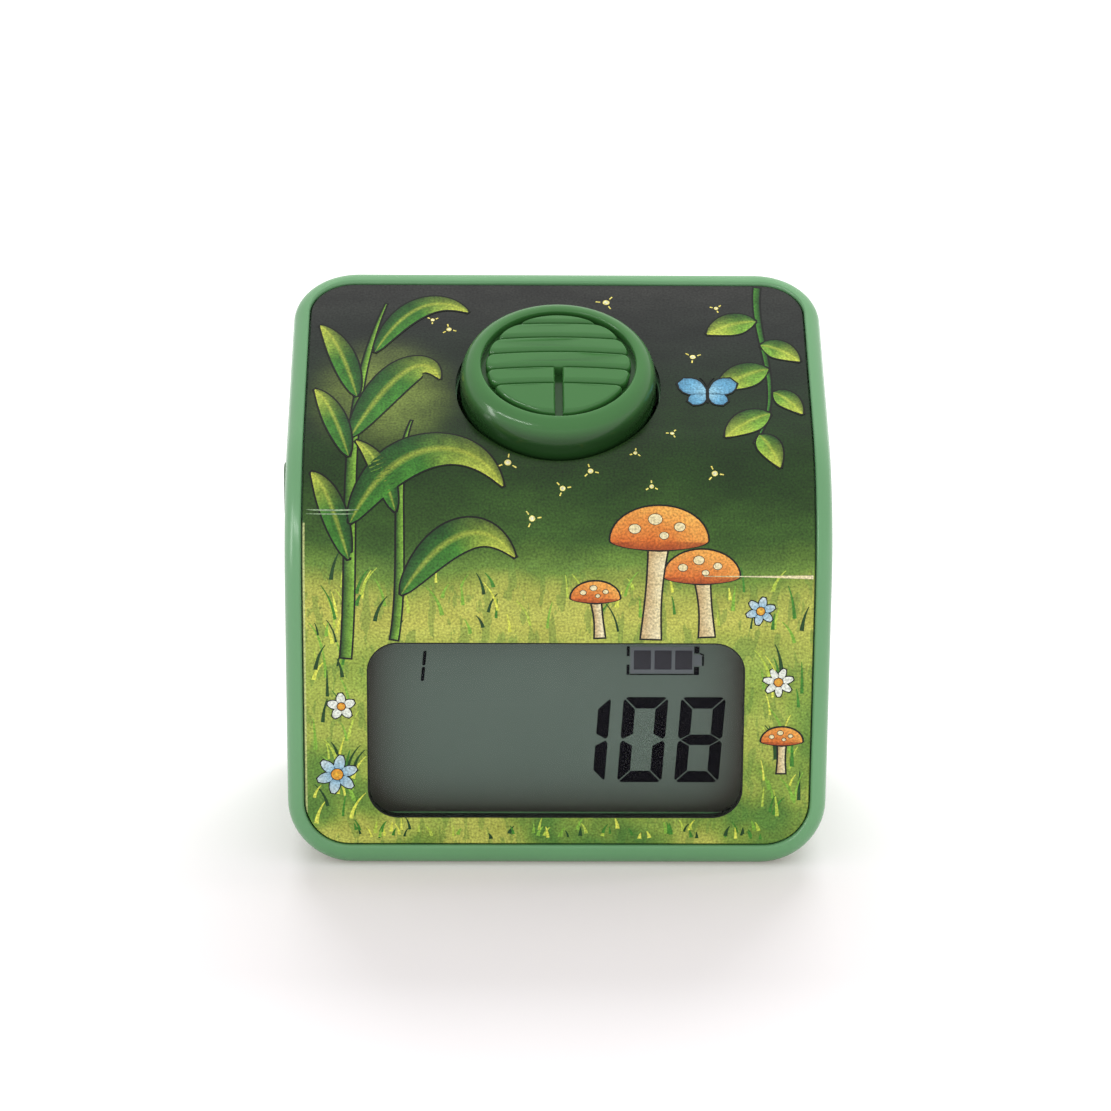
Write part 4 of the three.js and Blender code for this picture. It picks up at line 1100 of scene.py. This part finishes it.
def painted_bend_highlights():
    """Painted highlights: pale lines where the sheet starts to bend and catches the light. The right one
    widens towards the edge.
    """
    ribbon([(11.9, 25.62), (16, 25.62), (20.85, 25.55)], lambda t: 0.025 + 0.13 * t ** 2,
           lambda u, t: mix(INK["crease_sheen"], INK["cream"], min(1.0, 0.3 + t)), 14, outline=0, across=2)
    for points, wide in (([(-20.7, 31.1), (-18.6, 31.0), (-16.4, 31.1)], 0.06),
                         ([(-20.7, 30.75), (-18.6, 30.7), (-16.8, 30.75)], 0.035)):
        stroke(points, lambda t, wide=wide: 0.01 + wide * sin(pi * t) ** 0.5, "crease_sheen", 14)


def printed_picture():
    for draw in (painted_bend_highlights, grass, fireflies, plant, branch):
        draw()
    for values in ((12.2, 20.4, 5.2, 3.1, 5, -0.5), (7.6, 20.2, 8.4, 4.0, 9, 0.6),
                   (3.4, 20.3, 3.4, 2.0, 5, -0.4), (18.6, 8.4, 2.8, 1.7, 5)):
        mushroom(*values)
    for values in ((-18.3, 8.2, 1.7, 6, "blue"), (-17.9, 14.2, 1.15, 5, "petal"),
                   (18.2, 16.4, 1.25, 7, "petal"), (16.6, 22.6, 1.2, 6, "blue")):
        flower(*values)
    butterfly(12.5, 43.4, 2.2, 11)
    mesh = bpy.data.meshes.new("printed_picture")
    piece = bpy.data.objects.new("printed_picture", mesh)
    bpy.context.scene.collection.objects.link(piece)
    mesh.from_pydata(ink_points, [], ink_faces)
    mesh.color_attributes.new("paint", "FLOAT_COLOR", "POINT").data.foreach_set("color", ink_colours)
    follow_face(piece)
    return piece


# Finishes

WHITE = (1.0, 1.0, 1.0)


def scaled(colour, by):
    return tuple(min(1.0, value * by) for value in colour)


def screen_stops(stops, reach=1.0):
    return [(at / reach, srgb(*tone)) for at, tone in stops]


class Shading:
    """The nodes of a material or a world. A value is a number, a colour or another node's output."""

    def __init__(self, owner, ending="Principled BSDF"):
        owner.use_nodes = True
        self.owner, self.tree = owner, owner.node_tree
        self.ending = self.tree.nodes[ending]

    def put(self, socket, value):
        if isinstance(value, bpy.types.NodeSocket):
            self.tree.links.new(value, socket)
        else:
            socket.default_value = (*value, 1.0) if socket.type == "RGBA" else value

    def finish(self, **values):
        """Sets the ending's sockets, whose names have _ for each space, and gives the material."""
        for name, value in values.items():
            self.put(self.ending.inputs[name.replace("_", " ")], value)
        return self.owner

    def add(self, kind, output, inputs, **settings):
        """A new node's output. Its inputs go by name or number, and its settings by name."""
        node = self.tree.nodes.new("ShaderNode" + kind)
        for name, value in settings.items():
            setattr(node, name, value)
        for name, value in inputs.items():
            self.put(node.inputs[name], value)
        return node.outputs[output]

    def here(self):
        return self.add("TexCoord", "Object", {})

    def noise(self, scale, detail=2.0, vector=None):
        vector = self.here() if vector is None else vector
        return self.add("TexNoise", "Fac", {"Scale": scale, "Detail": detail, "Vector": vector})

    def stretched(self, vector, across, along):
        return self.add("Mapping", "Vector", {"Vector": vector, "Scale": (across, along, 1.0)})

    def ramp(self, source, *stops):
        made = self.add("ValToRGB", "Color", {"Fac": source})
        elements = made.node.color_ramp.elements
        while len(elements) < len(stops):
            elements.new(0.5)
        for element, (position, colour) in zip(elements, stops):
            element.position = position
            element.color = (*colour, 1.0)
        return made

    def cloudy(self, colour, source, low, high, reach=0.2):
        """The colour at a low and a high strength, as the source goes through a reach about its middle."""
        return self.ramp(source, (0.5 - reach, scaled(colour, low)), (0.5 + reach, scaled(colour, high)))

    def spread(self, source, low, high, start=0.0, end=1.0):
        return self.add("MapRange", "Result", {
            "Value": source, "From Min": start, "From Max": end, "To Min": low, "To Max": high})

    def bump(self, source, strength, distance):
        return self.add("Bump", "Normal", {"Strength": strength, "Distance": distance, "Height": source})

    def calc(self, operation, *values, clamp=False):
        return self.add("Math", "Value", dict(enumerate(values)), operation=operation, use_clamp=clamp)

    def blend(self, kind, share, first, second):
        """Mixes two colours. The Mix node takes colours in its sockets 6 and 7 and gives one in output 2."""
        return self.add("Mix", 2, {0: share, 6: first, 7: second}, data_type="RGBA", blend_type=kind)


def new_finish(name):
    return Shading(bpy.data.materials.new(name))


def moulded(name, colour, roughness, grain=900.0, shine=0.5, foot=None):
    """Moulded plastic: a faint cloudiness in its colour, an uneven gloss and a fine moulded texture. A foot,
    where given, darkens the colour with painted shade.
    """
    mat = new_finish(name)
    colour = mat.cloudy(colour, mat.noise(60.0, 3.0), 0.95, 1.05)
    if foot:
        colour = mat.blend("MULTIPLY", 1.0, colour, foot(mat))
    return mat.finish(
        Base_Color=colour, Specular_IOR_Level=shine,
        Roughness=mat.spread(mat.noise(240.0, 4.0), roughness * 0.85, roughness * 1.2),
        Normal=mat.bump(mat.noise(grain, 3.0), 0.25, 0.000004))


def button_foot_shade(mat):
    """Painted shade that darkens the button's wall towards the face plate, where less light reaches it."""
    out = face_normal(SLOPE_START)
    base = place(*BUTTON_POINT).dot(out)
    height = mat.add("VectorMath", "Value", {0: mat.here(), 1: out}, operation="DOT_PRODUCT")
    share = mat.spread(height, 0.0, 1.0, (base + FOOT_SHADE_LOW) * MM, (base + BUTTON_HEIGHT) * MM)
    return mat.ramp(share, *FOOT_PAINTED_SHADES)


def metal(name, colour, roughness):
    mat = new_finish(name)
    return mat.finish(
        Base_Color=mat.cloudy(colour, mat.noise(400.0, 4.0), 0.88, 1.08, 0.15), Metallic=1.0,
        Roughness=mat.spread(mat.noise(900.0, 4.0), roughness * 0.7, roughness * 1.3))


def foil(name, colour):
    """Crinkled foil or film with a soft metal sheen."""
    mat = new_finish(name)
    crease_sheen = mat.noise(260.0, 5.0)
    return mat.finish(
        Base_Color=mat.cloudy(colour, crease_sheen, 0.85, 1.1), Metallic=0.6,
        Roughness=mat.spread(crease_sheen, 0.25, 0.5), Normal=mat.bump(crease_sheen, 0.5, 0.0001))


def circuit(name):
    """Green solder mask with paler tracks."""
    mat = new_finish(name)
    tracks = mat.add("TexBrick", "Color", {
        "Scale": 500.0, "Mortar Size": 0.03, "Vector": mat.here(),
        "Color1": (0.012, 0.09, 0.04), "Color2": (0.01, 0.075, 0.032), "Mortar": (0.03, 0.19, 0.08)})
    return mat.finish(Base_Color=tracks, Roughness=mat.spread(mat.noise(800.0, 3.0), 0.25, 0.4))


def clear_pane(name):
    mat = new_finish(name)
    return mat.finish(
        Base_Color=mat.ramp(mat.noise(200.0, 3.0), (0.3, (0.05, 0.052, 0.05)), (0.7, (0.06, 0.062, 0.06))),
        Roughness=mat.spread(mat.noise(600.0, 3.0), 0.05, 0.12), Alpha=0.04)


def display(name):
    """Grey-green display glass with painted shade, browner and darker towards its edges, where the window's
    wall shades it.
    """
    mat = new_finish(name)
    edge_shade = []
    for axis, middle, reach, power in LCD_SHADE_FADE:
        along = mat.add("SeparateXYZ", axis, {"Vector": mat.here()})
        away = mat.calc("DIVIDE", mat.calc("SUBTRACT", along, middle * MM), reach * MM)
        edge_shade.append(mat.calc("POWER", mat.calc("ABSOLUTE", away), power))
    green = mat.cloudy(srgb(*LCD_GREEN), mat.noise(120.0, 3.0), 1.0, 1.05)
    return mat.finish(
        Base_Color=mat.blend("MIX", mat.calc("ADD", *edge_shade, clamp=True), green, srgb(*LCD_EDGE_SHADE)),
        Roughness=mat.spread(mat.noise(3000.0, 2.0), 0.4, 0.5))


def window_line(mat, x, s):
    """1 on a thin line round the display window and 0 elsewhere."""
    squares = []
    for value, centre, size in ((x, WINDOW_SHIFT, WINDOW_WIDTH), (s, WINDOW_CENTRE, WINDOW_HEIGHT)):
        away = mat.calc("ABSOLUTE", mat.calc("SUBTRACT", value, centre * MM))
        past = mat.calc("MAXIMUM", mat.calc("SUBTRACT", away, (size / 2 - WINDOW_RADIUS) * MM), 0.0)
        squares.append(mat.calc("MULTIPLY", past, past))
    reach = mat.calc("SQRT", mat.calc("ADD", *squares))
    return mat.calc("LESS_THAN", reach, (WINDOW_RADIUS + LINE_WIDTH) * MM)


def print_ink(name, picture):
    """Halftone print under a clear gloss. picture gives its colour from a place on the plate in metres."""
    mat = new_finish(name)
    flat = mat.add("UVMap", "UV", {}, uv_map="face")
    x, s = (mat.add("SeparateXYZ", axis, {"Vector": flat}) for axis in "XY")
    dots = mat.spread(mat.noise(HALFTONE, 1.0, flat), 0.2, 1.8)
    grey = mat.add("CombineColor", "Color", {"Red": dots, "Green": dots, "Blue": dots})
    colour = mat.blend("MULTIPLY", 1.0, picture(mat, flat, x, s), grey)
    return mat.finish(
        Base_Color=mat.blend("MIX", window_line(mat, x, s), colour, INK["line"]), Specular_IOR_Level=0.32,
        Roughness=mat.spread(mat.noise(150.0, 3.0), 0.16, 0.26),
        Normal=mat.bump(mat.noise(2500.0, 2.0, flat), 0.08, 0.000002))


def meadow(mat, flat, x, s):
    """The picture's background: night at the top, a glow behind the window, grass below, and a painted
    highlight low along the plate's left edge.
    """
    calc, blend = mat.calc, mat.blend
    warp = calc("MULTIPLY", calc("SUBTRACT", mat.noise(90.0, 4.0, flat), 0.5), 0.009)
    warped = calc("ADD", s, warp)
    colour = mat.ramp(calc("DIVIDE", warped, FACE_LENGTH * MM), *screen_stops(SKY, FACE_LENGTH))
    low_down = calc("SUBTRACT", 1.0, calc("DIVIDE", s, MOTTLE_TOP * MM), clamp=True)
    colour = blend("MIX", low_down, colour, mat.ramp(mat.noise(130.0, 2.0, flat), *screen_stops(MOTTLES)))
    glow = []
    for value, centre, reach in zip((x, s), GLOW_CENTRE, GLOW_REACH):
        away = calc("DIVIDE", calc("SUBTRACT", value, centre * MM), reach * MM)
        glow.append(calc("MULTIPLY", away, away))
    near = calc("POWER", calc("SUBTRACT", 1.0, calc("ADD", *glow), clamp=True), 2.2)
    near = calc("MULTIPLY", near, mat.noise(260.0, 3.0, flat), clamp=True)
    colour = blend("MIX", near, colour, srgb(*GLOW_TONE))
    streaks = mat.noise(1.0, 4.0, mat.stretched(flat, 240.0, 420.0))
    streaks = mat.ramp(streaks, (0.35, (0.22, 0.24, 0.16)), (0.65, (0.72, 0.76, 0.6)))
    colour = blend("SOFT_LIGHT", 0.35, colour, streaks)
    tufts = calc("GREATER_THAN", mat.noise(1.0, 3.0, mat.stretched(flat, 1100.0, 330.0)), 0.56)
    patch = calc("MULTIPLY", tufts, calc("LESS_THAN", warped, MEADOW_TOP * MM))
    colour = blend("MIX", calc("MULTIPLY", patch, 0.5), colour, srgb(*TUFT_TONE))
    # Painted highlight along the plate's left edge, where its cut edge catches the light
    edge_highlight = calc("MULTIPLY", calc("LESS_THAN", x, (PLATE_SIDE_RIM + PAINTED_EDGE_HIGHLIGHT - CASE_WIDTH / 2) * MM),
                calc("LESS_THAN", s, PAINTED_EDGE_HIGHLIGHT_TOP * MM))
    return blend("MIX", calc("MULTIPLY", edge_highlight, 0.75), colour, srgb(*PAINTED_EDGE_HIGHLIGHT_TONE))


def painted(mat, flat, x, s):
    paint = mat.add("Attribute", "Color", {}, attribute_name="paint")
    brush = mat.ramp(mat.noise(700.0, 3.0, flat), (0.35, (0.25, 0.25, 0.25)), (0.65, (0.75, 0.75, 0.75)))
    return mat.blend("SOFT_LIGHT", 0.4, paint, brush)


FINISHES = {name: kind(name, *values) for name, kind, *values in (
    ("case_green", moulded, srgb(*CASE_TONE), 0.24),
    # the button's finish carries painted shade on its wall
    ("button_green", moulded, srgb(*BUTTON_TONE), 0.17, 900.0, 0.4, button_foot_shade),
    ("key_green", moulded, srgb(*KEY_TONE), 0.4),
    ("printed_plate", print_ink, meadow),
    ("clear_pane", clear_pane),
    ("lcd", display),
    ("white_plastic", moulded, (0.72, 0.72, 0.68), 0.4),
    ("black_plastic", moulded, (0.02, 0.02, 0.022), 0.45),
    ("grey_rubber", moulded, (0.12, 0.12, 0.125), 0.75, 2500.0),
    ("circuit_board", circuit),
    ("ribbon_amber", moulded, (0.45, 0.16, 0.03), 0.3),
    ("cell_foil", foil, (0.5, 0.51, 0.53)),
    ("plated_steel", metal, (0.62, 0.62, 0.63), 0.28),
    ("red_wire", moulded, (0.5, 0.02, 0.015), 0.4),
    ("printed_picture", print_ink, painted),
    ("lcd_black", moulded, LCD_BLACK, 0.5, 900.0, 0.05),
    ("lcd_grey", moulded, srgb(*LCD_GREY), 0.5, 900.0, 0.1),
    ("lcd_dark", moulded, srgb(*LCD_DARK), 0.5, 900.0, 0.1),
)}

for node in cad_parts.values():
    for socket in node.material_slots:
        socket.material = FINISHES[socket.material.name]


def dress(piece, slot, body="case", nodes=(), finish=None):
    """Gives a piece its finish, which is the slot's unless another is named, and the body that it rides on,
    and hides the CAD nodes that it stands for.
    """
    piece.data.transform(Matrix.Scale(MM, 4))
    piece.data.materials.clear()
    piece.data.materials.append(FINISHES[finish or slot])
    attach(piece, body)
    if nodes:
        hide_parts(*nodes)


dress(front_shell(), "case_green", nodes=["front_case"])
dress(rear_shell(), "case_green", nodes=["rear_cover"])
dress(button_cap(), "button_green", "thumb_button", ["button_cap"])
dress(side_key(), "key_green", "side_key", ["side_key"])
dress(printed_plate(), "printed_plate", nodes=["face_plate"])
dress(printed_picture(), "printed_plate", finish="printed_picture")
dress(digits(), "lcd", finish="lcd_black")
for piece, finish in zip(gauge(), ("lcd_grey", "lcd_dark", "lcd_black")):
    dress(piece, "lcd", finish=finish)
for number, (spot, seat, _) in enumerate(SCREWS, 1):
    dress(case_screw(number, spot, seat), "plated_steel", nodes=[f"case_screw_{number}"])

# Camera

CAMERA_TARGET = Vector((-0.231, 4.0, 26.13))
CAMERA_DISTANCE = 327.89
CAMERA_YAW = 0.8339 * DEGREES
CAMERA_PITCH = 18.0 * DEGREES
CAMERA_ROLL = 0.4047 * DEGREES
CAMERA_LENS = 128.51
SENSOR_WIDTH = 36.0
CAMERA_CLIP = (0.01, 20.0)  # metres


def add_camera():
    flat = cos(CAMERA_PITCH)
    ahead = Vector((sin(CAMERA_YAW) * flat, cos(CAMERA_YAW) * flat, -sin(CAMERA_PITCH)))
    level = Vector((cos(CAMERA_YAW), -sin(CAMERA_YAW), 0))
    upright = level.cross(ahead)
    right = level * cos(CAMERA_ROLL) + upright * sin(CAMERA_ROLL)
    above = upright * cos(CAMERA_ROLL) - level * sin(CAMERA_ROLL)
    data = bpy.data.cameras.new("camera")
    data.lens = CAMERA_LENS
    data.sensor_width = SENSOR_WIDTH
    data.clip_start, data.clip_end = CAMERA_CLIP
    camera = bpy.data.objects.new("camera", data)
    turn = Matrix((right, above, -ahead)).transposed().to_4x4()
    spot = place(*CAMERA_TARGET) - ahead * CAMERA_DISTANCE
    camera.matrix_world = Matrix.Translation(spot * MM) @ turn
    bpy.context.scene.collection.objects.link(camera)
    bpy.context.scene.camera = camera


add_camera()

# Studio

FLOOR_SIZE = 6000.0
FLOOR_ALBEDO = 0.76
FLOOR_TINT = (1.0, 1.005, 1.03)
FLOOR_GLOW = 0.22
FLOOR_FAR_GLOW = 0.6
FLOOR_NEAR = 0.12  # metres from the middle of the floor
FLOOR_FAR = 0.6
# The floor's glow is warmer near the object, which paints a warm tint into its shadow
FLOOR_SHADOW_WARMTH = (1.0, 0.82, 0.78)
WORLD_LIGHT = 0.82


def seen_as_background(shading):
    """1 for the rays that show the background, and 0 for those that light the object."""
    camera, glossy, through = (
        shading.add("LightPath", f"Is {kind} Ray", {}) for kind in ("Camera", "Glossy", "Transmission"))
    return shading.calc("MAXIMUM", shading.calc("MAXIMUM", camera, glossy), through)


def add_floor():
    half = FLOOR_SIZE / 2
    corners = [(-half, -half, 0), (half, -half, 0), (half, half, 0), (-half, half, 0)]
    floor = make("floor", corners, [(0, 1, 2, 3)])
    floor.data.transform(Matrix.Scale(MM, 4))
    mat = new_finish("floor")
    away = mat.add("VectorMath", "Value", {0: mat.here()}, operation="LENGTH")
    far = mat.spread(away, 0.0, 1.0, FLOOR_NEAR, FLOOR_FAR)
    glow = mat.spread(far, FLOOR_GLOW, FLOOR_FAR_GLOW)
    floor.data.materials.append(mat.finish(
        Base_Color=mat.cloudy(scaled(FLOOR_TINT, FLOOR_ALBEDO), mat.noise(30.0), 0.995, 1.0),
        Roughness=0.9, Specular_IOR_Level=0.0,
        Emission_Color=mat.ramp(far, (0.0, FLOOR_SHADOW_WARMTH), (1.0, WHITE)),
        Emission_Strength=mat.calc("MULTIPLY", glow, seen_as_background(mat))))


def add_world():
    world = Shading(bpy.data.worlds.new("studio"), "Background")
    bpy.context.scene.world = world.finish(
        Color=WHITE, Strength=world.spread(seen_as_background(world), WORLD_LIGHT, 1.0))


def add_lamp(name, spot, aim, width, height, power, shine=False):
    """An area light that either lights the object or, where it shines, only shows in its gloss."""
    data = bpy.data.lights.new(name, "AREA")
    data.shape = "RECTANGLE"
    data.size, data.size_y = width * MM, height * MM
    data.energy = power
    lamp = bpy.data.objects.new(name, data)
    spot, aim = Vector(spot) * MM, Vector(aim) * MM
    lamp.location = spot
    lamp.rotation_euler = (aim - spot).to_track_quat("-Z", "Y").to_euler()
    lamp.visible_diffuse, lamp.visible_glossy = not shine, shine
    bpy.context.scene.collection.objects.link(lamp)


add_floor()
add_world()
for lamp in (
        ("overhead", (30, 640, 580), (0, 0, 20), 640, 360, 5.6),
        ("front", (-160, -700, 60), (0, 0, 5), 900, 120, 0.9),
        ("left_strip", (-420, -125, 90), (0, 0, 25), 50, 200, 0.33, True),
        ("front_left_strip", (-300, -310, 190), (0, 0, 35), 300, 12, 0.4, True),
        ("right_strip", (400, 60, 420), (0, 0, 35), 60, 220, 0.25)):
    add_lamp(*lamp)
bpy.context.scene.view_settings.view_transform = "Standard"
